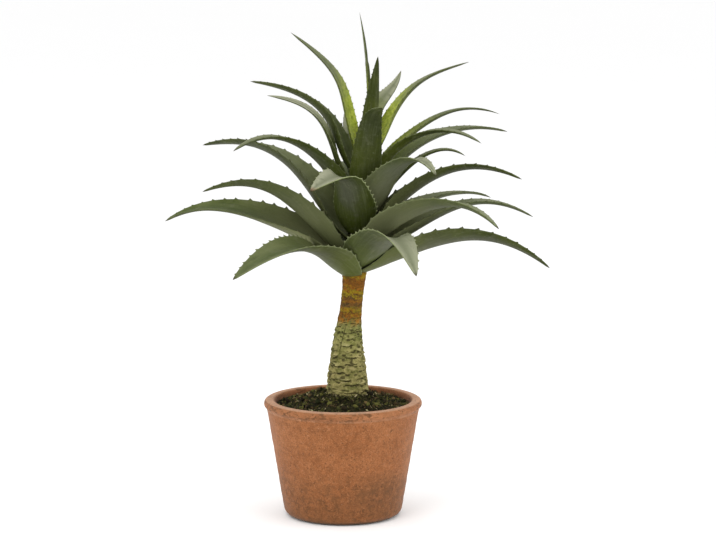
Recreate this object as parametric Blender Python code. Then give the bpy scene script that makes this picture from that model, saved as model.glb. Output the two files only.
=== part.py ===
"""Potted agave: a terracotta pot filled with soil, a scarred woody trunk and a crown of channelled,
arching leaves. Metres, +Z up. The origin is the centre of the pot's flat base, and the front of the
plant faces -Y."""

import math

import bmesh
import bpy
import numpy as np

# ---- shape rules start ----
MM = 0.001

# ---- pot ----
POT_HEIGHT = 148.0  # mm, base to the top of the rim
RIM_RADIUS = 100.0  # mm, widest point of the rim bead
RIM_WIDEST_Z = 142.0
RIM_INNER_RADIUS = 86.0
RIM_LEDGE_Z = 135.5  # where the bead meets the tapered wall
WALL_TOP_RADIUS = 96.2  # outside of the wall just under the bead
BASE_RADIUS = 73.5  # outside of the wall carried down to the base plane
BASE_FILLET = 12.0
WALL_THICK = 10.0
FLOOR_THICK = 12.0
DRAIN_HOLES = 3
DRAIN_RADIUS = 6.0
DRAIN_CIRCLE = 30.0  # radius of the circle that the drain holes stand on

# ---- soil ----
SOIL_EDGE_Z = 139.0
SOIL_MOUND = 19.0  # rise of the soil towards the trunk
SOIL_SPREAD = 44.0
GAP = 0.35  # left between touching pieces

# ---- trunk: height, sideways place of its middle, and radius, mm ----
TRUNK_PATH = ((92, 7.0), (130, 6.6), (192, 5.6), (231, 6.6), (268, 10.6), (306, 14.4), (400, 22.4), (492, 30.5))
TRUNK_RADIUS = (
    (92, 19.0), (112, 25.0), (135, 27.2), (153, 26.8), (170, 25.6), (192, 22.9), (212, 20.0), (231, 17.6),
    (250, 15.0), (268, 13.9), (290, 14.0), (306, 15.2), (322, 14.6), (360, 12.8), (400, 11.0), (440, 8.8), (470, 6.6), (492, 3.4),
)

# ---- leaves ----
# name, height of its root on the trunk, direction it leaves in (0 right, 90 back, -90 front, 180 left),
# sideways sweep to the tip, reach of the tip from the trunk's middle, height of the tip,
# pitch at the root, pitch at the tip, greatest half width, roll, pull of the root and tip handles
LEAVES = (
    ("low_leaf_front_left", 308, -129, -6, 207, 322, 32, -28, 38, 7, 0.4, 0.54),
    ("low_leaf_right", 312, -4, 0, 244, 316, 20, -36, 39, 17, 0.41, 0.49),
    ("low_leaf_back", 306, 90, 4, 200, 334, 30, -34, 28, 0, 0.38, 0.36),
    ("low_leaf_front_right", 317, -67, 2, 174, 328, 31, -51, 38, 9, 0.46, 0.57),
    ("low_leaf_left", 320, 168, -1, 248, 365, 32, -30, 36, 14, 0.41, 0.36),
    ("lower_leaf_back_left", 340, 115, 2, 150, 348, 43, -36, 22, 0, 0.38, 0.36),
    ("lower_leaf_right", 329, 6, -0, 224, 375, 25, -29, 29, 1, 0.42, 0.46),
    ("lower_leaf_front_right", 337, -32, 2, 200, 377, 44, -41, 37, 12, 0.4, 0.42),
    ("lower_leaf_left", 331, -172, -1, 192, 413, 36, -18, 41, -13, 0.36, 0.53),
    ("lower_leaf_front", 361, -102, -12, 142, 427, 46, -19, 33, 11, 0.65, 0.64),
    ("lower_leaf_back_right", 349, 43, -5, 219, 385, 31, -23, 21, 3, 0.32, 0.3),
    ("middle_leaf_right", 355, 4, -3, 205, 425, 48, -24, 34, 10, 0.43, 0.44),
    ("middle_leaf_left", 352.2, -212, 3, 227, 456, 41, -10, 40, -12, 0.41, 0.54),
    ("middle_leaf_back", 366, 85, 0, 170, 396, 46, -30, 26, 0, 0.38, 0.36),
    ("middle_leaf_front_right", 370, -53, 4, 143, 443, 57, -47, 32, 4, 0.43, 0.43),
    ("middle_leaf_right_2", 379, -1, 0, 132, 455, 58, -34, 18, 0, 0.40, 0.36),
    ("middle_leaf_back_right", 387, 83, 0, 145, 412, 47, -30, 18, 0, 0.38, 0.36),
    ("middle_leaf_back_left", 379, 124, 0, 70, 413, 45, -26, 15, 0, 0.38, 0.36),
    ("middle_leaf_left_2", 388, -151, -1, 175, 470, 62, -31, 25, 0, 0.4, 0.44),
    ("middle_leaf_back_2", 395, 106, 0, 118, 428, 52, -30, 18, 0, 0.38, 0.36),
    ("upper_leaf_front", 396, -79, 1, 123, 527, 58, 11, 23, 11, 0.55, 0.49),
    ("upper_leaf_right", 414, -22, 0, 158, 477, 63, -30, 19, 0, 0.44, 0.42),
    ("upper_leaf_back", 411, 88, 0, 92, 448, 46, -15, 14, 0, 0.38, 0.36),
    ("upper_leaf_back_right", 403, 40, 0, 248, 468, 48, -14, 23, 0, 0.38, 0.36),
    ("upper_leaf_left", 406, -162, 0, 122, 534, 55, 9, 14, 27, 0.42, 0.58),
    ("upper_leaf_left_2", 431, 164, -1, 148, 544, 50, 7, 28, -14, 0.35, 0.7),
    ("upper_leaf_right_2", 432, 28, -1, 195, 498, 41, -21, 11, 3, 0.42, 0.39),
    ("top_leaf_right", 447, 33, -1, 157, 565, 61, 12, 16, 12, 0.53, 0.47),
    ("top_leaf_left", 454, 152, 1, 104, 605, 70, 33, 15, -2, 0.53, 0.58),
    ("top_leaf_back", 465, 66, 1, 117, 552, 88, 44, 13, -20, 0.47, 0.37),
    ("top_leaf_back_left", 420, 110, -2, 70, 504, 61, 46, 18, 4, 0.38, 0.36),
    ("spear_leaf_right", 457, -55, 0, 28, 581, 85, 80, 15, 0, 0.38, 0.36),
    ("spear_leaf_centre", 482, 10, 0, -9, 634, 92, 102, 7, 0, 0.38, 0.36),
)
LEAF_THICK_ROOT = 4.4  # mm, at the keel
LEAF_THICK_TIP = 2.0
LEAF_EDGE_THICK = 1.3  # at the margins
ROOT_WIDTH_SHARE = 0.72  # width of the clasping root, of the greatest width
WRAP_LIMIT = 1.75  # radians that a margin of the root goes round the trunk at most
WIDEST_AT = 0.24  # of the leaf's length
CURL_MIDDLE = 56.0  # degrees, half angle of the channel where the leaf is widest
CURL_TIP = 34.0
ROOT_GAP = 0.8  # mm between the trunk and the roots' corners, so that their flat strips clear it
CLASP_REACH = 40.0  # mm of distance over which the root's wrap turns into the free channel
CLASP_LENGTH = (35.0, 70.0)  # mm along the leaf where it starts to turn free, and how far that takes
STEEP_FROM = (72.0, 84.0)  # degrees of root pitch over which a leaf counts as steep
STEEP_REACH = 12.0  # mm along a steep leaf over which its thickness turns square to it
LEAF_RINGS = 11
LEAF_ACROSS = 6  # spans from margin to margin


def smooth(x):
    x = min(max(x, 0.0), 1.0)
    return x * x * (3 - 2 * x)


def through(points, x):
    """A smooth curve through (place, value) pairs: Catmull-Rom with flat-clamped ends."""
    xs = [p[0] for p in points]
    ys = [p[1] for p in points]
    if x <= xs[0]:
        return ys[0]
    if x >= xs[-1]:
        return ys[-1]
    k = max(i for i in range(len(xs) - 1) if xs[i] <= x)
    slope = lambda i: (ys[min(i + 1, len(ys) - 1)] - ys[max(i - 1, 0)]) / (xs[min(i + 1, len(xs) - 1)] - xs[max(i - 1, 0)])
    h = xs[k + 1] - xs[k]
    t = (x - xs[k]) / h
    a, b = slope(k) * h, slope(k + 1) * h
    return (2 * t**3 - 3 * t**2 + 1) * ys[k] + (t**3 - 2 * t**2 + t) * a + (3 * t**2 - 2 * t**3) * ys[k + 1] + (t**3 - t**2) * b


def trunk_middle(z):
    return np.array([through(TRUNK_PATH, z), 0.0, z])


def trunk_radius(z):
    return through(TRUNK_RADIUS, z)


def heading(degrees, pitch=0.0):
    a, p = math.radians(degrees), math.radians(pitch)
    return np.array([math.cos(a) * math.cos(p), math.sin(a) * math.cos(p), math.sin(p)])


class Leaf:
    """One leaf: an arching keel line from the trunk to the tip, with a channelled section along it."""

    def __init__(self, name, root, azimuth, sweep, reach, tip, pitch_root, pitch_tip, half_width, roll, pull_root, pull_tip):
        self.name, self.azimuth, self.sweep, self.half_width, self.roll = name, azimuth, sweep, half_width, roll
        middle = trunk_middle(root)
        self.start_radius = trunk_radius(root) + ROOT_GAP
        self.steep = smooth((pitch_root - STEEP_FROM[0]) / (STEEP_FROM[1] - STEEP_FROM[0]))
        p0 = middle + self.start_radius * heading(azimuth)
        p3 = np.array([middle[0], 0.0, 0.0]) + reach * heading(azimuth + sweep) + np.array([0, 0, tip])
        chord = np.linalg.norm(p3 - p0)
        p1 = p0 + pull_root * chord * heading(azimuth, pitch_root)
        p2 = p3 - pull_tip * chord * heading(azimuth + 2 * sweep, pitch_tip)
        self.handles = (p0, p1, p2, p3)
        # even steps of length along the keel
        t = np.linspace(0, 1, 241)
        line = self.bezier(t)
        run = np.concatenate([[0], np.cumsum(np.linalg.norm(np.diff(line, axis=0), axis=1))])
        self.length = run[-1]
        self.run_table = (run / run[-1], t)

    def bezier(self, t):
        t = np.asarray(t, float)[..., None]
        a, b, c, d = self.handles
        return (1 - t) ** 3 * a + 3 * (1 - t) ** 2 * t * b + 3 * (1 - t) * t**2 * c + t**3 * d

    def slope(self, t):
        a, b, c, d = self.handles
        v = 3 * (1 - t) ** 2 * (b - a) + 6 * (1 - t) * t * (c - b) + 3 * t**2 * (d - c)
        return v / np.linalg.norm(v)

    def station(self, s):
        """Keel point and the frame there: along, to the right, and up out of the channel."""
        t = float(np.interp(s, *self.run_table))
        point = self.bezier(t)
        along = self.slope(t)
        a = math.radians(self.azimuth + 2 * self.sweep * s)
        right = np.array([math.sin(a), -math.cos(a), 0.0])
        right -= along * (right @ along)
        right /= np.linalg.norm(right)
        up = np.cross(right, along)
        r = math.radians(self.roll * smooth(s / 0.5))
        right, up = math.cos(r) * right + math.sin(r) * up, math.cos(r) * up - math.sin(r) * right
        return point, along, right, up

    def width(self, s):
        """Half width, measured round the channel."""
        if s < WIDEST_AT:
            share = ROOT_WIDTH_SHARE + (1 - ROOT_WIDTH_SHARE) * math.sin(math.pi / 2 * s / WIDEST_AT)
        else:
            x = (s - WIDEST_AT) / (1 - WIDEST_AT)
            share = (1 - x**1.2) ** 0.78 if x < 1 else 0.0
        return self.half_width * share

    def curl(self, s):
        """Half angle of the channel, in radians."""
        return math.radians(CURL_MIDDLE + (CURL_TIP - CURL_MIDDLE) * smooth((s - 0.15) / 0.6))

    def thickness(self, s, u):
        keel = LEAF_THICK_ROOT + (LEAF_THICK_TIP - LEAF_THICK_ROOT) * s
        edge = LEAF_EDGE_THICK
        return edge + (keel - edge) * (1 - abs(u) ** 2.2)

    def skin(self, s, u, side):
        """A point of the leaf's skin: s along it, u across it from -1 to 1, side -1 below and 1 above."""
        point, along, right, up = self.station(s)
        w = max(self.width(s), 1e-6)
        half = side * 0.5 * self.thickness(s, u) * min(1.0, w / 3.0)
        turn = self.curl(s)
        radius = w / turn
        phi = u * turn
        free = point + right * (radius * math.sin(phi)) + up * (radius * (1 - math.cos(phi)))
        free = free + half * (up * math.cos(phi) - right * math.sin(phi))
        middle = trunk_middle(point[2])
        out = point - middle
        out[2] = 0
        distance = np.linalg.norm(out)
        # the wrap opens with distance from the trunk, and on the steep upper leaves with length along the leaf
        share = 1 - (1 - smooth((distance - self.start_radius) / CLASP_REACH)) * (1 - smooth((s * self.length - CLASP_LENGTH[0]) / CLASP_LENGTH[1]))
        if share >= 1:
            return free
        wrap = WRAP_LIMIT * math.tanh(w / distance / WRAP_LIMIT)
        a = math.atan2(out[1], out[0]) - u * wrap
        outward = np.array([math.cos(a), math.sin(a), 0.0])
        # at the root both skins end on the trunk, so the thickness is measured straight up there;
        # a steep leaf soon needs it measured square to itself instead
        flat = math.hypot(along[0], along[1])
        upright = (1 - share) * (1 - self.steep * smooth(s * self.length / STEEP_REACH))
        lean = np.array([0.0, 0.0, 1.0]) * upright / max(flat, 0.35) + (1 - upright) * (
            outward * -along[2] + np.array([0, 0, 1.0]) * flat * np.sign(along @ out + 1e-9)
        )
        height = point[2] + half * lean[2]
        # the trunk tapers, so a point that ends up lower than the keel stands further out to clear it
        reach = max(distance + half * math.hypot(lean[0], lean[1]) * np.sign(lean[0] * outward[0] + lean[1] * outward[1]), trunk_radius(height) + ROOT_GAP)
        clasp = middle + outward * reach + np.array([0, 0, half * lean[2]])
        # the trunk leans, so a clasping point is taken round the trunk's middle at its own height
        clasp = clasp + (trunk_middle(clasp[2]) - trunk_middle(point[2])) * np.array([1, 1, 0]) * (1 - share)
        return (1 - share) * clasp + share * free


def leaf_mesh(leaf, rings=LEAF_RINGS, across=LEAF_ACROSS):
    """Closed skin: rings of points round the section from root to tip, and the tip as one point."""
    us = [-1 + 2 * k / across for k in range(across + 1)]
    loop = [(u, -1) for u in us] + [(u, 1) for u in reversed(us)]
    # stations stand closer where the clasping root opens out
    ss = [(k / rings) ** 1.12 * 0.985 for k in range(rings)]
    points = [leaf.skin(s, u, side) * MM for s in ss for u, side in loop]
    points.append(leaf.bezier(1.0) * MM)
    n = len(loop)
    faces = []
    for k in range(rings - 1):
        for i in range(n):
            j = (i + 1) % n
            faces.append((k * n + i, (k + 1) * n + i, (k + 1) * n + j, k * n + j))
    for i in range(n):
        j = (i + 1) % n
        faces.append(((rings - 1) * n + i, rings * n, (rings - 1) * n + j))
    for i in range(across):
        # the root face runs in strips between the two skins, so that it follows the round trunk
        faces.append((i, i + 1, n - 2 - i, n - 1 - i))
    return np.array(points), faces


def pot_profile():
    """Outline of the pot's wall in (radius, height), mm: up the outside, over the rim, down the inside."""
    slope = (WALL_TOP_RADIUS - BASE_RADIUS) / RIM_LEDGE_Z
    lean = math.atan(slope)
    outline = []
    # bottom corner: a fillet between the base plane and the leaning wall
    turn = math.pi / 2 - lean
    cut = BASE_FILLET * math.tan(turn / 2)
    centre = (BASE_RADIUS - cut, BASE_FILLET)
    for k in range(6):
        a = -math.pi / 2 + turn * k / 5
        outline.append((centre[0] + BASE_FILLET * math.cos(a), centre[1] + BASE_FILLET * math.sin(a)))
    outline.append((WALL_TOP_RADIUS, RIM_LEDGE_Z - 0.6))
    # rim bead: a short flare out, round the widest point, over the top and down into the mouth
    outline += [(96.9, 135.6), (98.7, 137.6)]
    for k in range(7):
        a = math.radians(-10 + 110 * k / 6)
        outline.append((RIM_RADIUS - 5.6 + 5.6 * math.cos(a), RIM_WIDEST_Z + 0.4 + 5.6 * math.sin(a)))
    for k in range(4):
        a = math.radians(90 + 75 * k / 3)
        outline.append((RIM_INNER_RADIUS + 3.4 + 3.4 * math.cos(a), POT_HEIGHT - 3.4 + 3.4 * math.sin(a)))
    inner = lambda z: BASE_RADIUS + slope * z - WALL_THICK / math.cos(lean)
    outline.append((RIM_INNER_RADIUS + 0.1, 139.0))
    outline.append((inner(131.0), 131.0))
    for k in range(4):
        a = math.radians(-8 - 82 * k / 3)
        outline.append((inner(FLOOR_THICK + 6) - 6 + 6 * math.cos(a), FLOOR_THICK + 6 + 6 * math.sin(a)))
    return outline


def pot_inner_radius(z):
    """Inside of the pot's wall, mm, at a height under the rim."""
    slope = (WALL_TOP_RADIUS - BASE_RADIUS) / RIM_LEDGE_Z
    straight = BASE_RADIUS + slope * z - WALL_THICK / math.cos(math.atan(slope))
    if z > 131.0:
        top = BASE_RADIUS + slope * 131.0 - WALL_THICK / math.cos(math.atan(slope))
        return top + (RIM_INNER_RADIUS + 0.1 - top) * min((z - 131.0) / 8.0, 1.0)
    return straight


def soil_top(x, y):
    """Height of the soil at a place, mm: a mound round the trunk, with a little unevenness."""
    d = math.hypot(x - 6.0, y)
    edge = math.hypot(x, y) / 84.0
    ripple = 0.8 * math.sin(x * 0.11 + 1.0) * math.cos(y * 0.09 - 0.4) + 0.5 * math.sin(x * 0.05 - y * 0.13)
    return SOIL_EDGE_Z + SOIL_MOUND * math.exp(-((d / SOIL_SPREAD) ** 2)) + ripple * (1 - edge**4)


# ---- shape rules end ----


def clear_scene():
    for thing in list(bpy.data.objects):
        bpy.data.objects.remove(thing, do_unlink=True)


def material(name, colour, roughness):
    made = bpy.data.materials.new(name)
    made.use_nodes = True
    shader = made.node_tree.nodes["Principled BSDF"]
    shader.inputs["Base Color"].default_value = (*colour, 1)
    shader.inputs["Roughness"].default_value = roughness
    shader.inputs["Metallic"].default_value = 0.0
    made.diffuse_color = (*colour, 1)
    return made


def add(name, points, faces, stuff, parent=None):
    """A mesh object from points and faces, with its faces turned outwards and shaded smooth."""
    mesh = bpy.data.meshes.new(name)
    mesh.from_pydata([tuple(p) for p in points], [], faces)
    work = bmesh.new()
    work.from_mesh(mesh)
    bmesh.ops.recalc_face_normals(work, faces=work.faces)
    work.to_mesh(mesh)
    work.free()
    mesh.shade_smooth()
    mesh.set_sharp_from_angle(angle=math.radians(50))
    thing = bpy.data.objects.new(name, mesh)
    bpy.context.scene.collection.objects.link(thing)
    thing.data.materials.append(stuff)
    thing.parent = parent
    return thing


def turned(profile, segments):
    """Points and faces of a profile in (radius, height), mm, turned about +Z and closed at both ends of it."""
    points, faces = [], []
    for r, z in profile:
        for k in range(segments):
            a = 2 * math.pi * k / segments
            points.append((r * math.cos(a) * MM, r * math.sin(a) * MM, z * MM))
    rows = len(profile)
    for i in range(rows - 1):
        for k in range(segments):
            n = (k + 1) % segments
            faces.append((i * segments + k, i * segments + n, (i + 1) * segments + n, (i + 1) * segments + k))
    for row in (0, rows - 1):
        centre = len(points)
        points.append((0, 0, profile[row][1] * MM))
        for k in range(segments):
            faces.append((row * segments + k, row * segments + (k + 1) % segments, centre))
    return points, faces


def make_pot(parent):
    clay = material("terracotta", (0.48, 0.19, 0.09), 0.85)
    pot = add("pot", *turned(pot_profile(), 56), clay, parent)
    for k in range(DRAIN_HOLES):
        a = 2 * math.pi * (k + 0.52) / DRAIN_HOLES
        r = DRAIN_RADIUS
        points, faces = turned([(r, -5.0), (r, FLOOR_THICK + 5.0)], 16)
        cutter = add(f"drain_cutter_{k + 1}", points, faces, clay, parent)
        cutter.location = (DRAIN_CIRCLE * math.cos(a) * MM, DRAIN_CIRCLE * math.sin(a) * MM, 0)
        cutter.hide_render = True
        cutter.display_type = "WIRE"
        cut = pot.modifiers.new(f"drain_{k + 1}", "BOOLEAN")
        cut.operation = "DIFFERENCE"
        cut.object = cutter
    return pot


def make_soil(parent):
    """The soil fills the pot from its floor to the mound, and has a socket where the trunk stands in it."""
    dark = material("soil", (0.025, 0.022, 0.014), 0.95)
    segments, middle = 40, trunk_middle(150)[0]
    bottom, top = FLOOR_THICK + GAP, SOIL_EDGE_Z
    socket_floor = TRUNK_RADIUS[0][0] - GAP
    rows = []  # rings from the middle of the underside, up the outside, over the top and down the socket
    outer = lambda z: pot_inner_radius(z) - GAP
    rows.append([(outer(bottom + 6) - 6.5, bottom)] * segments)
    rows.append([(outer(bottom + 6) - 1.2, bottom + 2.2)] * segments)
    for z in (bottom + 7, 70.0, 130.6, top - 0.4):
        rows.append([(outer(z), z)] * segments)
    points, faces = [], []
    for row in rows:
        for k, (r, z) in enumerate(row):
            a = 2 * math.pi * k / segments
            points.append((r * math.cos(a), r * math.sin(a), z))
    # over the top: from the wall in to the trunk
    inner = lambda z: trunk_radius(z) + GAP + 0.25
    for share in (0.06, 0.2, 0.36, 0.52, 0.68, 0.84, 1.0):
        for k in range(segments):
            a = 2 * math.pi * k / segments
            rim = np.array([outer(top) * math.cos(a), outer(top) * math.sin(a)])
            hole = np.array([middle + inner(152) * math.cos(a), inner(152) * math.sin(a)])
            x, y = rim + (hole - rim) * share
            points.append((x, y, soil_top(x, y)))
    # down the socket beside the trunk
    for z in (135.0, 112.0, 92.0 - GAP):
        for k in range(segments):
            a = 2 * math.pi * k / segments
            at = trunk_middle(z)[0]
            points.append((at + inner(z) * math.cos(a), inner(z) * math.sin(a), z))
    count = len(points) // segments
    for i in range(count - 1):
        for k in range(segments):
            n = (k + 1) % segments
            faces.append((i * segments + k, i * segments + n, (i + 1) * segments + n, (i + 1) * segments + k))
    for row, z in ((0, bottom), (count - 1, socket_floor)):
        centre = len(points)
        points.append((0 if row == 0 else trunk_middle(z)[0], 0, z))
        for k in range(segments):
            faces.append((row * segments + k, row * segments + (k + 1) % segments, centre))
    return add("soil", [np.array(p) * MM for p in points], faces, dark, parent)


def make_trunk(parent):
    bark = material("trunk_bark", (0.22, 0.17, 0.07), 0.8)
    segments = 20
    heights = [92, 102, 112, 122, 135, 147, 158, 168, 179, 190, 200, 210, 220, 231, 241, 250, 259, 268, 279, 290, 299, 306,
               314, 323, 336, 350, 366, 382, 400, 418, 436, 454, 470, 483, 492]
    points, faces = [], []
    for z in heights:
        middle, r = trunk_middle(z), trunk_radius(z)
        for k in range(segments):
            a = 2 * math.pi * k / segments
            points.append(((middle[0] + r * math.cos(a)) * MM, r * math.sin(a) * MM, z * MM))
    rows = len(heights)
    for i in range(rows - 1):
        for k in range(segments):
            n = (k + 1) % segments
            faces.append((i * segments + k, i * segments + n, (i + 1) * segments + n, (i + 1) * segments + k))
    for row in (0, rows - 1):
        centre = len(points)
        z = heights[row] + (0 if row == 0 else 2.5)
        points.append((trunk_middle(z)[0] * MM, 0, z * MM))
        for k in range(segments):
            faces.append((row * segments + k, row * segments + (k + 1) % segments, centre))
    return add("trunk", points, faces, bark, parent)


def make_leaves(parent):
    green = material("leaf_green", (0.055, 0.085, 0.025), 0.55)
    for row in LEAVES:
        leaf = Leaf(*row)
        points, faces = leaf_mesh(leaf)
        thing = add(leaf.name, points, faces, green.copy(), parent)
        thing.data.materials[0].name = leaf.name


def main():
    clear_scene()
    plant = bpy.data.objects.new("potted_agave", None)
    bpy.context.scene.collection.objects.link(plant)
    make_pot(plant)
    make_soil(plant)
    make_trunk(plant)
    make_leaves(plant)


main()
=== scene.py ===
"""Looks of the potted agave: a mottled terracotta pot, dark mossy soil, a scarred trunk and a crown of
toothed, channelled leaves, on a plain pale floor in soft studio light. Metres, +Z up, front towards -Y."""

import math

import bmesh
import bpy
import numpy as np
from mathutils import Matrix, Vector


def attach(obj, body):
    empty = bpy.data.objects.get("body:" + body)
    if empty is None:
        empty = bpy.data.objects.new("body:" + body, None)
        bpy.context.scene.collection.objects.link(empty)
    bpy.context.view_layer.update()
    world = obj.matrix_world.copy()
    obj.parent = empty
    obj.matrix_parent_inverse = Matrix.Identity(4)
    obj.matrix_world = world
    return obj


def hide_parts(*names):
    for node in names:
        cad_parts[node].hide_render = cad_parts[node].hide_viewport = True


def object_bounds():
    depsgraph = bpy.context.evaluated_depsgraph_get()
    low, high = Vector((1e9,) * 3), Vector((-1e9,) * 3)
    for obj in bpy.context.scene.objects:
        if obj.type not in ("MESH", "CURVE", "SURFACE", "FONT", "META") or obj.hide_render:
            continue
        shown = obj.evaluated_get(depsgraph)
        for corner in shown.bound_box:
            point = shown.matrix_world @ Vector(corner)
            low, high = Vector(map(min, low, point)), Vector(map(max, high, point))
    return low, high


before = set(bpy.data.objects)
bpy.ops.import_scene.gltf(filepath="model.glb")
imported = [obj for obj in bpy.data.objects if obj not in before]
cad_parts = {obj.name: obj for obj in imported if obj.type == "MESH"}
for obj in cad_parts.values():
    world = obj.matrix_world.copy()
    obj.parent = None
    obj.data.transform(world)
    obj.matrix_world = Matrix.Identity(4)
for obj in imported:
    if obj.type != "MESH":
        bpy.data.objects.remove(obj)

CAD_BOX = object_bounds()
MM = 0.001
# the solid part's box less 0.15 mm all round, in mm: teeth and tips stay inside it
BOX_LOW = np.array(CAD_BOX[0]) / MM + 0.15
BOX_HIGH = np.array(CAD_BOX[1]) / MM - 0.15

# ------------------------------------------------------------------ shape rules shared with the solid part, mm
POT_HEIGHT = 148.0
RIM_RADIUS = 100.0
RIM_WIDEST_Z = 142.0
RIM_INNER_RADIUS = 86.0
RIM_LEDGE_Z = 135.5
WALL_TOP_RADIUS = 96.2
BASE_RADIUS = 73.5
BASE_FILLET = 12.0
WALL_THICK = 10.0
FLOOR_THICK = 12.0
DRAIN_HOLES = 3
DRAIN_RADIUS = 6.0
DRAIN_CIRCLE = 30.0
SOIL_EDGE_Z = 139.0
SOIL_MOUND = 19.0
SOIL_SPREAD = 44.0
GAP = 0.35
TRUNK_PATH = ((92, 7.0), (130, 6.6), (192, 5.6), (231, 6.6), (268, 10.6), (306, 14.4), (400, 22.4), (492, 30.5))
TRUNK_RADIUS = (
    (92, 19.0), (112, 25.0), (135, 27.2), (153, 26.8), (170, 25.6), (192, 22.9), (212, 20.0), (231, 17.6),
    (250, 15.0), (268, 13.9), (290, 14.0), (306, 15.2), (322, 14.6), (360, 12.8), (400, 11.0), (440, 8.8), (470, 6.6), (492, 3.4),
)
# name, height of its root on the trunk, direction it leaves in (0 right, 90 back, -90 front, 180 left),
# sideways sweep to the tip, reach of the tip from the trunk's middle, height of the tip,
# pitch at the root, pitch at the tip, greatest half width, roll, pull of the root and tip handles
LEAVES = (
    ("low_leaf_front_left", 308, -129, -6, 207, 322, 32, -28, 38, 7, 0.4, 0.54),
    ("low_leaf_right", 312, -4, 0, 244, 316, 20, -36, 39, 17, 0.41, 0.49),
    ("low_leaf_back", 306, 90, 4, 200, 334, 30, -34, 28, 0, 0.38, 0.36),
    ("low_leaf_front_right", 317, -67, 2, 174, 328, 31, -51, 38, 9, 0.46, 0.57),
    ("low_leaf_left", 320, 168, -1, 248, 365, 32, -30, 36, 14, 0.41, 0.36),
    ("lower_leaf_back_left", 340, 115, 2, 150, 348, 43, -36, 22, 0, 0.38, 0.36),
    ("lower_leaf_right", 329, 6, -0, 224, 375, 25, -29, 29, 1, 0.42, 0.46),
    ("lower_leaf_front_right", 337, -32, 2, 200, 377, 44, -41, 37, 12, 0.4, 0.42),
    ("lower_leaf_left", 331, -172, -1, 192, 413, 36, -18, 41, -13, 0.36, 0.53),
    ("lower_leaf_front", 361, -102, -12, 142, 427, 46, -19, 33, 11, 0.65, 0.64),
    ("lower_leaf_back_right", 349, 43, -5, 219, 385, 31, -23, 21, 3, 0.32, 0.3),
    ("middle_leaf_right", 355, 4, -3, 205, 425, 48, -24, 34, 10, 0.43, 0.44),
    ("middle_leaf_left", 352.2, -212, 3, 227, 456, 41, -10, 40, -12, 0.41, 0.54),
    ("middle_leaf_back", 366, 85, 0, 170, 396, 46, -30, 26, 0, 0.38, 0.36),
    ("middle_leaf_front_right", 370, -53, 4, 143, 443, 57, -47, 32, 4, 0.43, 0.43),
    ("middle_leaf_right_2", 379, -1, 0, 132, 455, 58, -34, 18, 0, 0.40, 0.36),
    ("middle_leaf_back_right", 387, 83, 0, 145, 412, 47, -30, 18, 0, 0.38, 0.36),
    ("middle_leaf_back_left", 379, 124, 0, 70, 413, 45, -26, 15, 0, 0.38, 0.36),
    ("middle_leaf_left_2", 388, -151, -1, 175, 470, 62, -31, 25, 0, 0.4, 0.44),
    ("middle_leaf_back_2", 395, 106, 0, 118, 428, 52, -30, 18, 0, 0.38, 0.36),
    ("upper_leaf_front", 396, -79, 1, 123, 527, 58, 11, 23, 11, 0.55, 0.49),
    ("upper_leaf_right", 414, -22, 0, 158, 477, 63, -30, 19, 0, 0.44, 0.42),
    ("upper_leaf_back", 411, 88, 0, 92, 448, 46, -15, 14, 0, 0.38, 0.36),
    ("upper_leaf_back_right", 403, 40, 0, 248, 468, 48, -14, 23, 0, 0.38, 0.36),
    ("upper_leaf_left", 406, -162, 0, 122, 534, 55, 9, 14, 27, 0.42, 0.58),
    ("upper_leaf_left_2", 431, 164, -1, 148, 544, 50, 7, 28, -14, 0.35, 0.7),
    ("upper_leaf_right_2", 432, 28, -1, 195, 498, 41, -21, 11, 3, 0.42, 0.39),
    ("top_leaf_right", 447, 33, -1, 157, 565, 61, 12, 16, 12, 0.53, 0.47),
    ("top_leaf_left", 454, 152, 1, 104, 605, 70, 33, 15, -2, 0.53, 0.58),
    ("top_leaf_back", 465, 66, 1, 117, 552, 88, 44, 13, -20, 0.47, 0.37),
    ("top_leaf_back_left", 420, 110, -2, 70, 504, 61, 46, 18, 4, 0.38, 0.36),
    ("spear_leaf_right", 457, -55, 0, 28, 581, 85, 80, 15, 0, 0.38, 0.36),
    ("spear_leaf_centre", 482, 10, 0, -9, 634, 92, 102, 7, 0, 0.38, 0.36),
)
LEAF_THICK_ROOT = 4.4
LEAF_THICK_TIP = 2.0
LEAF_EDGE_THICK = 1.3
ROOT_WIDTH_SHARE = 0.72
WRAP_LIMIT = 1.75
WIDEST_AT = 0.24
CURL_MIDDLE = 56.0
CURL_TIP = 34.0
ROOT_GAP = 0.8
CLASP_REACH = 40.0
CLASP_LENGTH = (35.0, 70.0)
STEEP_FROM = (72.0, 84.0)
STEEP_REACH = 12.0


def smooth(x):
    x = np.clip(x, 0.0, 1.0)
    return x * x * (3 - 2 * x)


def through(points, x):
    """A smooth curve through (place, value) pairs."""
    xs = [p[0] for p in points]
    ys = [p[1] for p in points]
    if x <= xs[0]:
        return ys[0]
    if x >= xs[-1]:
        return ys[-1]
    k = max(i for i in range(len(xs) - 1) if xs[i] <= x)
    slope = lambda i: (ys[min(i + 1, len(ys) - 1)] - ys[max(i - 1, 0)]) / (xs[min(i + 1, len(xs) - 1)] - xs[max(i - 1, 0)])
    h = xs[k + 1] - xs[k]
    t = (x - xs[k]) / h
    a, b = slope(k) * h, slope(k + 1) * h
    return (2 * t**3 - 3 * t**2 + 1) * ys[k] + (t**3 - 2 * t**2 + t) * a + (3 * t**2 - 2 * t**3) * ys[k + 1] + (t**3 - t**2) * b


HEIGHTS = np.arange(92.0, 492.01, 0.5)
PATH_TABLE = np.array([through(TRUNK_PATH, z) for z in HEIGHTS])
RADIUS_TABLE = np.array([through(TRUNK_RADIUS, z) for z in HEIGHTS])


def trunk_x(z):
    return np.interp(z, HEIGHTS, PATH_TABLE)


def trunk_radius(z):
    return np.interp(z, HEIGHTS, RADIUS_TABLE)


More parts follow.
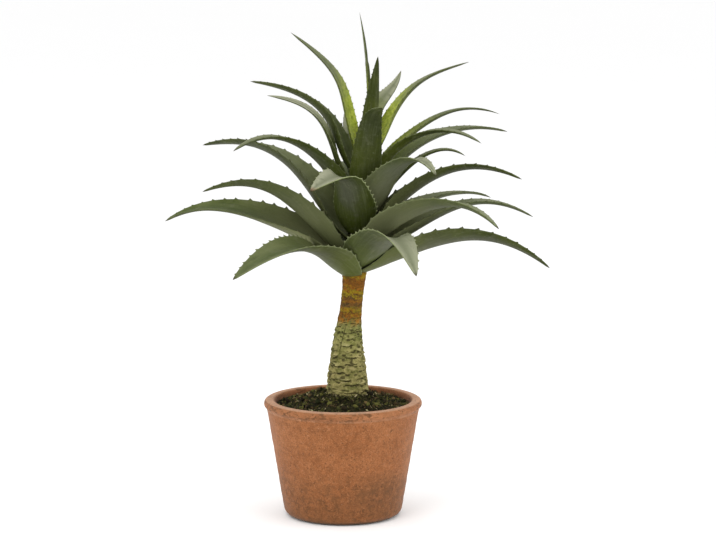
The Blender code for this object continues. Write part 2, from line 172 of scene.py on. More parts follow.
def heading(degrees, pitch=0.0):
    a, p = math.radians(degrees), math.radians(pitch)
    return np.array([math.cos(a) * math.cos(p), math.sin(a) * math.cos(p), math.sin(p)])


class Leaf:
    """One leaf: an arching keel line from the trunk to the tip, with a channelled section along it."""

    def __init__(self, name, root, azimuth, sweep, reach, tip, pitch_root, pitch_tip, half_width, roll, pull_root, pull_tip):
        self.name, self.azimuth, self.sweep, self.half_width, self.roll = name, azimuth, sweep, half_width, roll
        middle = np.array([trunk_x(root), 0.0, root])
        self.start_radius = trunk_radius(root) + ROOT_GAP
        self.steep = float(smooth((pitch_root - STEEP_FROM[0]) / (STEEP_FROM[1] - STEEP_FROM[0])))
        p0 = middle + self.start_radius * heading(azimuth)
        p3 = np.array([middle[0], 0.0, 0.0]) + reach * heading(azimuth + sweep) + np.array([0, 0, tip])
        chord = np.linalg.norm(p3 - p0)
        p1 = p0 + pull_root * chord * heading(azimuth, pitch_root)
        p2 = p3 - pull_tip * chord * heading(azimuth + 2 * sweep, pitch_tip)
        self.handles = (p0, p1, p2, p3)
        t = np.linspace(0, 1, 241)
        line = self.bezier(t)
        run = np.concatenate([[0], np.cumsum(np.linalg.norm(np.diff(line, axis=0), axis=1))])
        self.length = run[-1]
        self.run_table = (run / run[-1], t)

    def bezier(self, t):
        t = np.asarray(t, float)[..., None]
        a, b, c, d = self.handles
        return (1 - t) ** 3 * a + 3 * (1 - t) ** 2 * t * b + 3 * (1 - t) * t**2 * c + t**3 * d

    def slope(self, t):
        a, b, c, d = self.handles
        v = 3 * (1 - t) ** 2 * (b - a) + 6 * (1 - t) * t * (c - b) + 3 * t**2 * (d - c)
        return v / np.linalg.norm(v)

    def station(self, s):
        t = float(np.interp(s, *self.run_table))
        point = self.bezier(t)
        along = self.slope(t)
        a = math.radians(self.azimuth + 2 * self.sweep * s)
        right = np.array([math.sin(a), -math.cos(a), 0.0])
        right -= along * (right @ along)
        right /= np.linalg.norm(right)
        up = np.cross(right, along)
        r = math.radians(self.roll * float(smooth(s / 0.5)))
        right, up = math.cos(r) * right + math.sin(r) * up, math.cos(r) * up - math.sin(r) * right
        return point, along, right, up

    def width(self, s):
        if s < WIDEST_AT:
            share = ROOT_WIDTH_SHARE + (1 - ROOT_WIDTH_SHARE) * math.sin(math.pi / 2 * s / WIDEST_AT)
        else:
            x = (s - WIDEST_AT) / (1 - WIDEST_AT)
            share = (1 - x**1.2) ** 0.78 if x < 1 else 0.0
        return self.half_width * share

    def curl(self, s):
        return math.radians(CURL_MIDDLE + (CURL_TIP - CURL_MIDDLE) * float(smooth((s - 0.15) / 0.6)))

    def section(self, s, u, half):
        """Points of the leaf at s along it: u across it from -1 to 1, half a signed distance from its middle skin."""
        point, along, right, up = self.station(s)
        w = max(self.width(s), 1e-6)
        turn = self.curl(s)
        radius = w / turn
        sin, cos = np.sin(u * turn)[:, None], np.cos(u * turn)[:, None]
        free = point + right * (radius * sin) + up * (radius * (1 - cos)) + half[:, None] * (up * cos - right * sin)
        middle = np.array([trunk_x(point[2]), 0.0, point[2]])
        out = point - middle
        out[2] = 0
        distance = np.linalg.norm(out)
        share = 1 - (1 - float(smooth((distance - self.start_radius) / CLASP_REACH))) * (
            1 - float(smooth((s * self.length - CLASP_LENGTH[0]) / CLASP_LENGTH[1])))
        if share >= 1:
            return free
        wrap = WRAP_LIMIT * math.tanh(w / distance / WRAP_LIMIT)
        a = math.atan2(out[1], out[0]) - u * wrap
        outward = np.stack([np.cos(a), np.sin(a), 0 * a], axis=1)
        flat = math.hypot(along[0], along[1])
        upright = (1 - share) * (1 - self.steep * float(smooth(s * self.length / STEEP_REACH)))
        lean = np.array([0.0, 0.0, 1.0]) * upright / max(flat, 0.35) + (1 - upright) * (
            outward * -along[2] + np.array([0, 0, 1.0]) * flat * np.sign(along @ out + 1e-9))
        height = point[2] + half * lean[:, 2]
        level = np.hypot(lean[:, 0], lean[:, 1]) * np.sign(lean[:, 0] * outward[:, 0] + lean[:, 1] * outward[:, 1])
        reach = np.maximum(distance + half * level, trunk_radius(height) + ROOT_GAP)
        clasp = middle + outward * reach[:, None]
        clasp[:, 2] += half * lean[:, 2]
        clasp[:, 0] += (trunk_x(clasp[:, 2]) - trunk_x(point[2])) * (1 - share)
        return (1 - share) * clasp + share * free


# ------------------------------------------------------------------ unevenness
def lattice(i, j, k, seed):
    h = (i * 374761393 + j * 668265263 + k * 1440662683 + seed * 974634777) & 0xFFFFFFFF
    h = ((h ^ (h >> 13)) * 1274126177) & 0xFFFFFFFF
    h = ((h ^ (h >> 15)) * 2246822519) & 0xFFFFFFFF
    return ((h ^ (h >> 16)) & 0xFFFF) / 32767.5 - 1.0


def grain(p, size, seed=0):
    """Smooth unevenness from -1 to 1 with features of about size (one number or three), at points p."""
    q = np.asarray(p, float) / size
    base = np.floor(q).astype(np.int64)
    f = q - base
    f = f * f * f * (f * (f * 6 - 15) + 10)
    total = 0.0
    for dx in (0, 1):
        for dy in (0, 1):
            for dz in (0, 1):
                weight = (f[:, 0] if dx else 1 - f[:, 0]) * (f[:, 1] if dy else 1 - f[:, 1]) * (f[:, 2] if dz else 1 - f[:, 2])
                total = total + weight * lattice(base[:, 0] + dx, base[:, 1] + dy, base[:, 2] + dz, seed)
    return total


def rough(p, size, octaves=3, seed=0, fall=0.5):
    total, gain, scale = 0.0, 1.0, 0.0
    for k in range(octaves):
        total = total + gain * grain(p, np.asarray(size) / 2**k, seed + 17 * k)
        scale += gain
        gain *= fall
    return total / scale


# ------------------------------------------------------------------ mesh helpers
def make_object(name, points, faces, stuff, attributes=None):
    mesh = bpy.data.meshes.new(name)
    mesh.from_pydata(np.asarray(points, float).tolist(), [], faces)
    mesh.update()
    for key, values in (attributes or {}).items():
        values = np.asarray(values, np.float32)
        if values.ndim == 1:
            mesh.attributes.new(key, "FLOAT", "POINT").data.foreach_set("value", values)
        else:
            mesh.attributes.new(key, "FLOAT_VECTOR", "POINT").data.foreach_set("vector", values.ravel())
    mesh.shade_smooth()
    thing = bpy.data.objects.new(name, mesh)
    bpy.context.scene.collection.objects.link(thing)
    mesh.materials.append(stuff)
    return thing


def turn_faces_out(thing):
    work = bmesh.new()
    work.from_mesh(thing.data)
    bmesh.ops.recalc_face_normals(work, faces=work.faces)
    work.to_mesh(thing.data)
    work.free()


def ring_faces(rows, count):
    faces = []
    for i in range(rows - 1):
        a = i * count
        for k in range(count):
            n = (k + 1) % count
            faces.append((a + k, a + n, a + count + n, a + count + k))
    return faces


# ------------------------------------------------------------------ material helper
class Paint:
    """Builds one node material; the small methods each add one node and hand back its output."""

    def __init__(self, name, roughness=0.6, specular=0.3, tint=(1.0, 1.0, 1.0)):
        self.material = bpy.data.materials.new(name)
        self.material.use_nodes = True
        self.tree = self.material.node_tree
        self.shader = self.tree.nodes["Principled BSDF"]
        self.shader.inputs["Roughness"].default_value = roughness
        self.shader.inputs["Specular IOR Level"].default_value = specular
        self.shader.inputs["Specular Tint"].default_value = (*tint, 1.0)
        self.place = self.tree.nodes.new("ShaderNodeTexCoord").outputs["Object"]

    def new(self, kind, **settings):
        node = self.tree.nodes.new(kind)
        for key, value in settings.items():
            setattr(node, key, value)
        return node

    def put(self, socket, value):
        if isinstance(value, bpy.types.NodeSocket):
            self.tree.links.new(value, socket)
        elif isinstance(value, (tuple, list)) and len(value) == 3 and socket.type == "RGBA":
            socket.default_value = (*value, 1.0)
        else:
            socket.default_value = value

    def read(self, name, vector=False):
        node = self.new("ShaderNodeAttribute", attribute_name=name)
        return node.outputs["Vector" if vector else "Fac"]

    def math(self, operation, a, b=0.0, c=0.0, clamp=False):
        node = self.new("ShaderNodeMath", operation=operation, use_clamp=clamp)
        self.put(node.inputs[0], a)
        self.put(node.inputs[1], b)
        if operation in ("MULTIPLY_ADD", "SMOOTH_MIN", "SMOOTH_MAX", "WRAP"):
            self.put(node.inputs[2], c)
        return node.outputs[0]

    def span(self, value, low, high, to_low=0.0, to_high=1.0, soft=True):
        node = self.new("ShaderNodeMapRange", interpolation_type="SMOOTHSTEP" if soft else "LINEAR")
        for key, v in zip(("Value", "From Min", "From Max", "To Min", "To Max"), (value, low, high, to_low, to_high)):
            self.put(node.inputs[key], v)
        return node.outputs["Result"]

    def mix(self, share, a, b, blend="MIX"):
        node = self.new("ShaderNodeMix", data_type="RGBA", blend_type=blend)
        self.put(node.inputs[0], share)
        self.put(node.inputs[6], a)
        self.put(node.inputs[7], b)
        return node.outputs[2]

    def noise(self, size, detail=3.0, rough=0.5, twist=0.0, where=None, seed=0.0):
        """Noise with features of about size metres (or of the given coordinate's unit)."""
        node = self.new("ShaderNodeTexNoise", noise_dimensions="4D")
        self.put(node.inputs["Vector"], where or self.place)
        node.inputs["W"].default_value = seed
        node.inputs["Scale"].default_value = 1.0 / size
        node.inputs["Detail"].default_value = detail
        node.inputs["Roughness"].default_value = rough
        node.inputs["Distortion"].default_value = twist
        return node.outputs["Fac"]

    def cells(self, size, where=None, feature="F1", output="Distance"):
        node = self.new("ShaderNodeTexVoronoi", feature=feature)
        self.put(node.inputs["Vector"], where or self.place)
        node.inputs["Scale"].default_value = 1.0 / size
        return node.outputs[output]

    def stretch(self, scale, where=None):
        node = self.new("ShaderNodeMapping")
        self.put(node.inputs["Vector"], where or self.place)
        node.inputs["Scale"].default_value = scale
        return node.outputs[0]

    def part(self, axis, where=None):
        node = self.new("ShaderNodeSeparateXYZ")
        self.put(node.inputs[0], where or self.place)
        return node.outputs[axis]

    def bump(self, height, distance, strength=1.0, after=None):
        node = self.new("ShaderNodeBump")
        node.inputs["Strength"].default_value = strength
        node.inputs["Distance"].default_value = distance
        self.put(node.inputs["Height"], height)
        if after is not None:
            self.put(node.inputs["Normal"], after)
        return node.outputs[0]

    def finish(self, colour, normal=None, roughness=None):
        self.put(self.shader.inputs["Base Color"], colour)
        if normal is not None:
            self.put(self.shader.inputs["Normal"], normal)
        if roughness is not None:
            self.put(self.shader.inputs["Roughness"], roughness)
        return self.material


# ------------------------------------------------------------------ leaves
def leaf_paint():
    """Dark waxy green below with a grey bloom and partly painted shade, a little paler above, olive at the root,
    yellow-green where the leaf is young, with thin scalloped margins and small dark tooth tips."""
    p = Paint("agave_leaf", 0.55, 0.13, (1.0, 1.0, 0.55))
    across, along, face = p.read("across"), p.read("along"), p.read("face")
    tone, fresh, bloom, pale = p.read("tone"), p.read("fresh"), p.read("bloom"), p.read("pale")
    tip, blush, brown, hem, lean = p.read("tip"), p.read("blush"), p.read("brown"), p.read("hem"), p.read("lean")
    flat = p.read("flat", vector=True)  # across and along the blade, metres
    side = p.math("ABSOLUTE", across)
    patches = p.noise(0.030, 3, 0.55, 0.4, seed=2.0)
    clouds = p.noise(0.012, 4, 0.6, 0.6, seed=12.0)
    streaks = p.noise(0.0017, 3, 0.6, 0.2, where=p.stretch((1.0, 0.05, 1.0), flat), seed=5.0)
    broad = p.noise(0.0060, 3, 0.55, 0.3, where=p.stretch((1.0, 0.10, 1.0), flat), seed=15.0)
    mottle = p.noise(0.0034, 4, 0.62, 0.5, seed=8.0)
    # underside: deep green, darkened partly as painted shade, olive towards the root, a grey bloom over the middle
    below = p.mix(p.span(patches, 0.35, 0.68), (0.024, 0.033, 0.005), (0.042, 0.054, 0.008))
    root = p.span(p.math("ADD", along, p.math("MULTIPLY", p.math("SUBTRACT", clouds, 0.5), 0.22)), 0.04, 0.36, 1.0, 0.0)
    below = p.mix(p.math("MULTIPLY", root, 0.85), below, (0.060, 0.080, 0.010))
    off = p.math("ABSOLUTE", p.math("SUBTRACT", across, lean))
    haze = p.span(p.math("ADD", off, p.math("MULTIPLY", p.math("SUBTRACT", patches, 0.5), 1.1)), 0.12, 0.85, 1.0, 0.0)
    haze = p.math("MULTIPLY", p.math("MULTIPLY", haze, bloom), p.span(p.math("ADD", along, p.math("MULTIPLY", p.math("SUBTRACT", clouds, 0.5), 0.25)), 0.12, 0.40))
    below = p.mix(haze, below, (0.078, 0.082, 0.058))
    # upper side
    above = p.mix(p.span(patches, 0.3, 0.7), (0.062, 0.082, 0.020), (0.100, 0.118, 0.040))
    above = p.mix(p.math("MULTIPLY", pale, p.span(p.math("ADD", along, p.math("MULTIPLY", p.math("SUBTRACT", clouds, 0.5), 0.5)), 0.22, 0.75)), above, (0.275, 0.280, 0.195))
    # painted shade: the upper side darkens towards the middle of its channel
    depth = p.span(side, 0.0, 0.75, 1.0, 0.0)
    above = p.mix(p.math("MULTIPLY", depth, 0.45), above, (0.034, 0.052, 0.014))
    # the darker underside and paler upper side are partly the leaf's own colours and partly painted shade and light
    colour = p.mix(p.span(face, -0.12, 0.12), below, above)
    # young tissue near the heart of the crown
    young = p.math("MULTIPLY", fresh, p.span(p.math("ADD", along, p.math("MULTIPLY", p.math("SUBTRACT", broad, 0.5), 0.35)), 0.18, 0.66, 1.0, 0.0))
    young = p.math("MULTIPLY", young, p.span(face, -0.5, 0.3, 0.30, 1.0))
    colour = p.mix(young, colour, p.mix(p.span(mottle, 0.32, 0.68), (0.285, 0.370, 0.026), (0.580, 0.640, 0.095)))
    # lengthwise streaks, worn patches and fine mottling
    colour = p.mix(p.span(broad, 0.52, 0.74, 0.0, 0.38), colour, p.mix(0.5, colour, (0.150, 0.165, 0.095)))
    colour = p.mix(p.span(broad, 0.24, 0.44, 0.50, 0.0), colour, p.mix(0.6, colour, (0.008, 0.014, 0.004)))
    colour = p.mix(p.span(streaks, 0.46, 0.74, 0.0, 0.40), colour, p.mix(0.5, colour, (0.165, 0.185, 0.095)))
    colour = p.mix(p.span(streaks, 0.25, 0.44, 0.45, 0.0), colour, p.mix(0.6, colour, (0.006, 0.011, 0.003)))
    colour = p.mix(p.span(mottle, 0.54, 0.72, 0.0, 0.55), colour, p.mix(0.5, colour, (0.175, 0.180, 0.125)))
    colour = p.mix(p.span(mottle, 0.26, 0.42, 0.40, 0.0), colour, p.mix(0.5, colour, (0.006, 0.010, 0.003)))
    colour = p.mix(p.span(clouds, 0.54, 0.68, 0.0, 0.50), colour, p.mix(0.5, colour, (0.140, 0.148, 0.090)))
    colour = p.mix(p.span(clouds, 0.32, 0.44, 0.45, 0.0), colour, p.mix(0.5, colour, (0.018, 0.026, 0.006)))
    # painted fill light: lighter towards the root on some leaves, against the deep shade inside the crown
    colour = p.mix(p.math("MULTIPLY", p.read("root"), p.span(along, 0.15, 0.70, 0.75, 0.0)), colour, (0.165, 0.172, 0.082))
    # tone of the whole leaf
    colour = p.mix(p.span(tone, 0.0, 1.0, 0.0, 0.75, soft=False), colour, p.mix(0.5, colour, (0.175, 0.200, 0.115)))
    colour = p.mix(p.span(tone, -1.0, 0.0, 0.75, 0.0, soft=False), colour, p.mix(0.5, colour, (0.008, 0.013, 0.004)))
    # margins: a thin pale hem on the front leaves, a thin dark line on the others
    edge = p.span(p.math("ADD", side, p.math("MULTIPLY", p.math("SUBTRACT", mottle, 0.5), 0.03)), 0.945, 0.985)
    colour = p.mix(p.math("MULTIPLY", edge, p.span(hem, 0.0, 1.0, 0.55, 0.0, soft=False)), colour, (0.018, 0.024, 0.008))
    colour = p.mix(p.math("MULTIPLY", edge, p.math("MULTIPLY", hem, p.span(mottle, 0.30, 0.60, 0.45, 0.95))), colour, (0.235, 0.270, 0.130))
    # reddish bruise, brown dry tip
    bruise = p.math("MULTIPLY", blush, p.span(p.noise(0.006, 4, 0.6, 0.6, seed=6.0), 0.50, 0.60))
    colour = p.mix(bruise, colour, (0.120, 0.036, 0.016))
    dry = p.math("MULTIPLY", brown, p.span(p.math("ADD", along, p.math("MULTIPLY", p.math("SUBTRACT", clouds, 0.5), 0.08)), 0.925, 0.985))
    colour = p.mix(p.math("MULTIPLY", dry, 0.85), colour, (0.165, 0.098, 0.055))
    spots = p.math("MULTIPLY", p.span(p.cells(0.0085), 0.0, 0.10, 1.0, 0.0), p.span(p.noise(0.03, 2, 0.5, seed=9.0), 0.50, 0.60))
    colour = p.mix(p.math("MULTIPLY", spots, 0.6), colour, (0.085, 0.065, 0.026))
    # dark horny tips of the teeth and of the leaf
    colour = p.mix(tip, colour, p.mix(p.math("MULTIPLY", hem, p.span(along, 0.86, 0.92, 0.9, 0.0)), (0.026, 0.018, 0.009), (0.260, 0.270, 0.150)))
    height = p.math("ADD", p.math("MULTIPLY", streaks, 0.6), p.math("MULTIPLY", mottle, 0.4))
    normal = p.bump(p.math("ADD", height, p.math("MULTIPLY", broad, 0.8)), 0.0006, 0.5)
    gloss = p.math("ADD", p.span(mottle, 0.3, 0.7, 0.46, 0.64), p.math("MULTIPLY", haze, 0.12))
    return p.finish(colour, normal, gloss)


# u of the columns of points from the middle of the blade out to its margin
COLUMNS = (0.0, 0.17, 0.34, 0.50, 0.65, 0.78, 0.88, 0.945, 0.982)


# the front leaves carry closer, finer teeth on their lower half
CROWDED = {
    "lower_leaf_front": 0.50, "low_leaf_front_left": 0.55, "low_leaf_front_right": 0.55,
    "middle_leaf_front_right": 0.60, "lower_leaf_front_right": 0.75, "upper_leaf_front": 0.80,
}


def tooth_rows(leaf, seed):
    """Places, mm along the leaf, and heights of the teeth of one margin."""
    chance = np.random.default_rng(seed)
    spacing = 0.30 * leaf.half_width + 4.4
    height = 0.062 * leaf.half_width + 0.55
    crowd = CROWDED.get(leaf.name, 1.0)
    at, rows = leaf.length * (0.06 + 0.02 * chance.random()), []
    while at < leaf.length * 0.972:
        s = at / leaf.length
        grow = min(1.0, s / 0.14) * (1 - 0.45 * max(0.0, s - 0.55) / 0.45)
        share = crowd + (1 - crowd) * smooth((s - 0.50) / 0.25)
        rows.append((at, height * grow * share**0.15 * (0.82 + 0.36 * chance.random())))
        at += spacing * share * (0.84 + 0.32 * chance.random()) * (1 - 0.38 * smooth((s - 0.5) / 0.5))
    return rows


def margin_line(rows, at):
    """How far a margin stands out at a place, mm, how far it leans forward there, and how horny it is. Each
    tooth is a small sharp point on a low shoulder, and the margin is slightly hollow between them."""
    out, lean, horn = -0.35, 0.0, 0.0
    for place, height in rows:
        d = at - place
        if abs(d) < 4.2 * height:
            out = max(out, -0.35 + 0.16 * height * (1 - abs(d) / (4.2 * height)) ** 1.5)
        if -1.55 * height < d <= 0:
            x = 1 + d / (1.55 * height)
            out = max(out, -0.30 + (height + 0.30) * x**1.5)
            lean, horn = max(lean, height * 0.45 * x**2), max(horn, float(smooth((x - 0.30) / 0.40)))
        elif 0 < d < 0.75 * height:
            x = 1 - d / (0.75 * height)
            out = max(out, -0.30 + (height + 0.30) * x**1.1)
            lean, horn = max(lean, height * 0.45 * x), max(horn, float(smooth((x - 0.30) / 0.40)))
    return out, lean, horn


def build_leaf(row, index, stuff, looks):
    leaf = Leaf(*row)
    sides = {-1: tooth_rows(leaf, 100 + index), 1: tooth_rows(leaf, 500 + index)}
    places = set(np.arange(0.0, leaf.length * 0.99, 3.4).tolist())
    for rows in sides.values():
        for at, height in rows:
            places.update(at + k * height for k in (-1.55, -1.0, -0.55, -0.22, 0.0, 0.32, 0.75))
    places = sorted(x for x in places if 0 <= x < leaf.length * 0.992)
    keep = [places[0]]
    for x in places[1:]:
        if x - keep[-1] > 0.26:
            keep.append(x)
    places = np.array(keep)
    inner = np.array([-c for c in reversed(COLUMNS[1:])] + list(COLUMNS))
    us = np.concatenate([[-1.0], inner, [1.0], inner[::-1]])
    sign = np.concatenate([[0.0], -np.ones(len(inner)), [0.0], np.ones(len(inner))])
    count = len(us)
    right_edge, left_edge = len(inner) + 1, 0
    points, attributes = [], {k: [] for k in ("across", "along", "face", "tip", "flat")}
    wave = 2 * math.pi * np.random.default_rng(900 + index).random(4)
    for at in places:
        s = at / leaf.length
        w = max(leaf.width(s), 0.05)
        keel = LEAF_THICK_ROOT + (LEAF_THICK_TIP - LEAF_THICK_ROOT) * s
        thick = LEAF_EDGE_THICK + (keel - LEAF_EDGE_THICK) * (1 - np.abs(us) ** 2.2)
        round_off = np.sqrt(np.clip(1 - (np.clip(np.abs(us) - 0.93, 0, 0.07) / 0.07) ** 2, 0, 1))
        half = sign * 0.5 * thick * round_off * min(1.0, w / 3.0)
        # the blade isn't quite even: shallow lengthwise flutes and slow swells
        uneven = 0.16 * np.sin(us * 9.0 + wave[0]) * math.sin(at / 23.0 + wave[1]) + 0.22 * np.sin(us * 3.1 + at / 31.0 + wave[2])
        half = half + uneven * min(1.0, w / 10.0) * (1 - np.abs(us) ** 6) * smooth((at - 20) / 40)
        ring = leaf.section(s, us, half)
        point, along, right, up = leaf.station(s)
        tips = np.zeros(count)
        for edge, u in ((right_edge, 1), (left_edge, -1)):
            near = (edge + 1) % count, (edge - 1) % count
            outward = ring[edge] - 0.5 * (ring[near[0]] + ring[near[1]])
            outward = outward / max(np.linalg.norm(outward), 1e-9)
            out, lean, horn = margin_line(sides[u], at)
            fade = min(1.0, w / 4.0)
            shift = outward * (out - 0.40) * fade + along * lean * fade
            ring[edge] += shift
            for j, weight in ((1, 0.34), (2, 0.08)):
                ring[(edge + j) % count] += shift * weight
                ring[(edge - j) % count] += shift * weight
            tips[edge] = horn
        points.append(ring)
        attributes["across"].append(us)
        attributes["along"].append(np.full(count, s))
        attributes["face"].append(sign)
        attributes["tip"].append(np.maximum(tips, float(smooth((s - 0.965) / 0.03)) * 0.9))
        attributes["flat"].append(np.stack([us * w * MM, np.full(count, at * MM), sign * 0.01 + index * 0.37], axis=1))
    rows = len(places)
    points = np.concatenate(points + [leaf.bezier(1.0)[None]])
    points = np.clip(points, BOX_LOW, BOX_HIGH)
    faces = ring_faces(rows, count)
    last, top = (rows - 1) * count, rows * count
    for k in range(count):
        faces.append((last + k, top, last + (k + 1) % count))
    # the root is closed by strips between the two skins
    n = len(inner)
    lower = [left_edge] + list(range(1, n + 1)) + [right_edge]
    upper = [left_edge] + [count - k for k in range(1, n + 1)] + [right_edge]
    faces.append((lower[0], lower[1], upper[1]))
    for k in range(1, n):
        faces.append((lower[k], lower[k + 1], upper[k + 1], upper[k]))
    faces.append((lower[n], lower[n + 1], upper[n]))
    joined = {k: np.concatenate(v) for k, v in attributes.items()}
    joined["across"] = np.append(joined["across"], 0.0)
    joined["along"] = np.append(joined["along"], 1.0)
    joined["face"] = np.append(joined["face"], 0.0)
    joined["tip"] = np.append(joined["tip"], 1.0)
    joined["flat"] = np.vstack([joined["flat"], [[0, leaf.length * MM, index * 0.37]]])
    total = len(points)
    for key, value in looks.items():
        joined[key] = np.full(total, value)
    thing = make_object(f"{leaf.name}_blade", points * MM, faces, stuff, joined)
    turn_faces_out(thing)
    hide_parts(leaf.name)
    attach(thing, "root")
    return thing


# how each leaf differs: tone, young yellow-green, grey bloom, paleness of its upper side, reddish bruise,
# dry brown tip, pale hem, where across the blade the bloom is centred, and painted fill light at the root
PLAIN = dict(tone=0.0, fresh=0.0, bloom=0.6, pale=0.15, blush=0.0, brown=0.0, hem=0.2, lean=0.0, root=0.0)
LOOKS = {
    "low_leaf_front_left": dict(tone=0.0, bloom=0.35, pale=0.10, hem=0.6, lean=-0.1, root=0.25),
    "low_leaf_front_right": dict(tone=0.35, bloom=0.9, pale=0.9, hem=0.8, lean=-0.35),
    "lower_leaf_front": dict(tone=-0.05, bloom=0.70, pale=1.0, hem=1.0, brown=1.0),
    "low_leaf_right": dict(tone=-0.20, bloom=0.6, pale=0.15, root=0.4),
    "low_leaf_left": dict(tone=0.0, bloom=0.4, pale=0.0, root=1.0),
    "lower_leaf_left": dict(tone=0.25, bloom=0.4, pale=0.1, lean=0.2, root=0.7),
    "lower_leaf_right": dict(tone=0.45, bloom=0.5, pale=0.45, root=1.0),
    "lower_leaf_front_right": dict(tone=0.45, bloom=0.7, pale=0.5, hem=0.5, root=1.0),
    "lower_leaf_back_right": dict(tone=0.0, bloom=0.4, pale=0.3, root=0.6),
    "middle_leaf_left": dict(tone=-0.20, bloom=0.2, pale=0.25, root=0.55),
    "middle_leaf_left_2": dict(tone=-0.15, bloom=0.6, pale=0.45),
    "middle_leaf_right": dict(tone=-0.05, bloom=0.8, pale=0.2, root=0.6),
    "middle_leaf_front_right": dict(tone=0.45, bloom=1.0, pale=0.9, hem=0.5, root=0.8),
    "middle_leaf_right_2": dict(tone=-0.10, bloom=0.5, pale=0.4),
    "upper_leaf_front": dict(tone=-0.35, bloom=0.20, pale=0.25, fresh=0.15, hem=0.3),
    "upper_leaf_left": dict(tone=0.0, bloom=0.4, pale=1.0, fresh=0.1),
    "upper_leaf_left_2": dict(tone=0.08, bloom=0.4, pale=0.2),
    "upper_leaf_right": dict(tone=-0.10, bloom=0.2, pale=0.45, fresh=0.25),
    "upper_leaf_back_right": dict(tone=-0.15, bloom=0.3, pale=0.25, fresh=0.1),
    "upper_leaf_right_2": dict(tone=-0.05, bloom=0.3, pale=0.3, fresh=0.45),
    "top_leaf_right": dict(tone=0.0, bloom=0.3, pale=0.4, fresh=1.0),
    "top_leaf_left": dict(tone=0.0, bloom=0.3, pale=0.3, fresh=1.0),
    "top_leaf_back": dict(tone=0.05, bloom=0.5, pale=0.8, fresh=0.15),
    "top_leaf_back_left": dict(tone=0.25, bloom=0.9, pale=1.0, fresh=0.1),
    "spear_leaf_right": dict(tone=-0.55, bloom=0.0, pale=0.0, fresh=0.55),
    "spear_leaf_centre": dict(tone=-0.25, bloom=0.1, pale=0.2, fresh=0.4),
}


def build_leaves():
    stuff = leaf_paint()
    for index, row in enumerate(LEAVES):
        looks = dict(PLAIN, **LOOKS.get(row[0], {}))
        build_leaf(row, index, stuff, looks)


# ------------------------------------------------------------------ trunk
def bark_surface(a, z):
    """Relief of the bark, mm, and how deep in the cracks a place is, from 0 to 1, which masks their painted shadow.
    Rows of overlapping, ragged leaf scars below, whose lower edges stand out over short cracks darkened with painted
    shadow; finer and flaky above."""
    circle = np.stack([np.cos(a) * 22, np.sin(a) * 22, z], axis=1)
    low = 0.28 + 0.72 * smooth((256 - z) / 12)
    warp = 2.6 * grain(circle, (16.0, 16.0, 12.0), 31) + 1.3 * grain(circle, (6.0, 6.0, 7.0), 33)
    edges = []
    at = 116.0
    chance = np.random.default_rng(7)
    k = 0
    while at < 330:
        flat_circle = np.stack([np.cos(a) * 22, np.sin(a) * 22, np.full_like(a, 40.0 * k)], axis=1)
        edges.append(at + 2.2 * grain(flat_circle, 15.0, 40 + k) + 1.2 * grain(flat_circle, 4.5, 80 + k))
        at += 6.6 + 3.6 * chance.random()
        k += 1
    relief = np.zeros_like(z)
    crack_shade = np.zeros_like(z)
    zw = z + warp
    for k in range(len(edges) - 1):
        low_edge, high_edge = edges[k], np.maximum(edges[k + 1], edges[k] + 2.5)
        inside = (zw >= low_edge) & (zw < high_edge)
        f = np.clip((zw - low_edge) / (high_edge - low_edge), 0, 1)
        flat_circle = np.stack([np.cos(a) * 22, np.sin(a) * 22, np.full_like(a, 31.0 * k + 9)], axis=1)
        lip = 0.45 + 1.15 * np.clip(grain(flat_circle, 8.0, 120 + k), -0.35, 1)
        # each scar bulges just above its lower edge and sinks towards the next one up
        shape = 1.25 * smooth(f / 0.22) * (1 - 0.75 * smooth((f - 0.30) / 0.60)) - 0.55
        relief = np.where(inside, shape * lip * 1.85, relief)
        dash = smooth((grain(flat_circle, 7.5, 160 + k) - 0.02) / 0.22)
        gap = np.maximum(smooth(1 - f / 0.20), smooth((f - 0.84) / 0.14))
        crack_shade = np.where(inside, gap * dash, crack_shade)
        relief = relief - np.where(inside, 0.75 * gap * dash, 0)
        # splits between the scars of one row
        for m in range(3):
            where = chance.random() * 2 * math.pi + 0.14 * np.sin(f * 5 + m)
            reach = 0.35 + 0.5 * chance.random()
            d = np.abs((a - where + math.pi) % (2 * math.pi) - math.pi) * 22
            split = np.where(inside, np.exp(-((d / 0.7) ** 2)) * smooth(f / 0.2) * smooth((reach - f) / 0.2), 0)
            relief = relief - 0.6 * split
            crack_shade = np.maximum(crack_shade, 0.65 * split)
    pits = rough(circle, 2.8, 3, 300)
    nicks = smooth((grain(circle, (5.0, 5.0, 1.5), 310) - 0.34) / 0.22)
    relief = relief * low + 0.42 * pits - 0.45 * nicks * low
    crack_shade = np.maximum(crack_shade, 0.75 * nicks) * (0.35 + 0.65 * low)
    flakes = rough(circle, (5.0, 5.0, 2.4), 3, 340)
    relief = relief + (1 - low) * 0.45 * flakes
    # the long thin seam on the left of the front
    d = (a - math.radians(247) - 0.05 * np.sin(z / 9.0) - (z - 225) * 0.004) * 18
    seam = np.exp(-((d / 0.55) ** 2)) * smooth((z - 206) / 8) * smooth((246 - z) / 8)
    return relief - 0.7 * seam, np.maximum(crack_shade, 0.80 * seam)


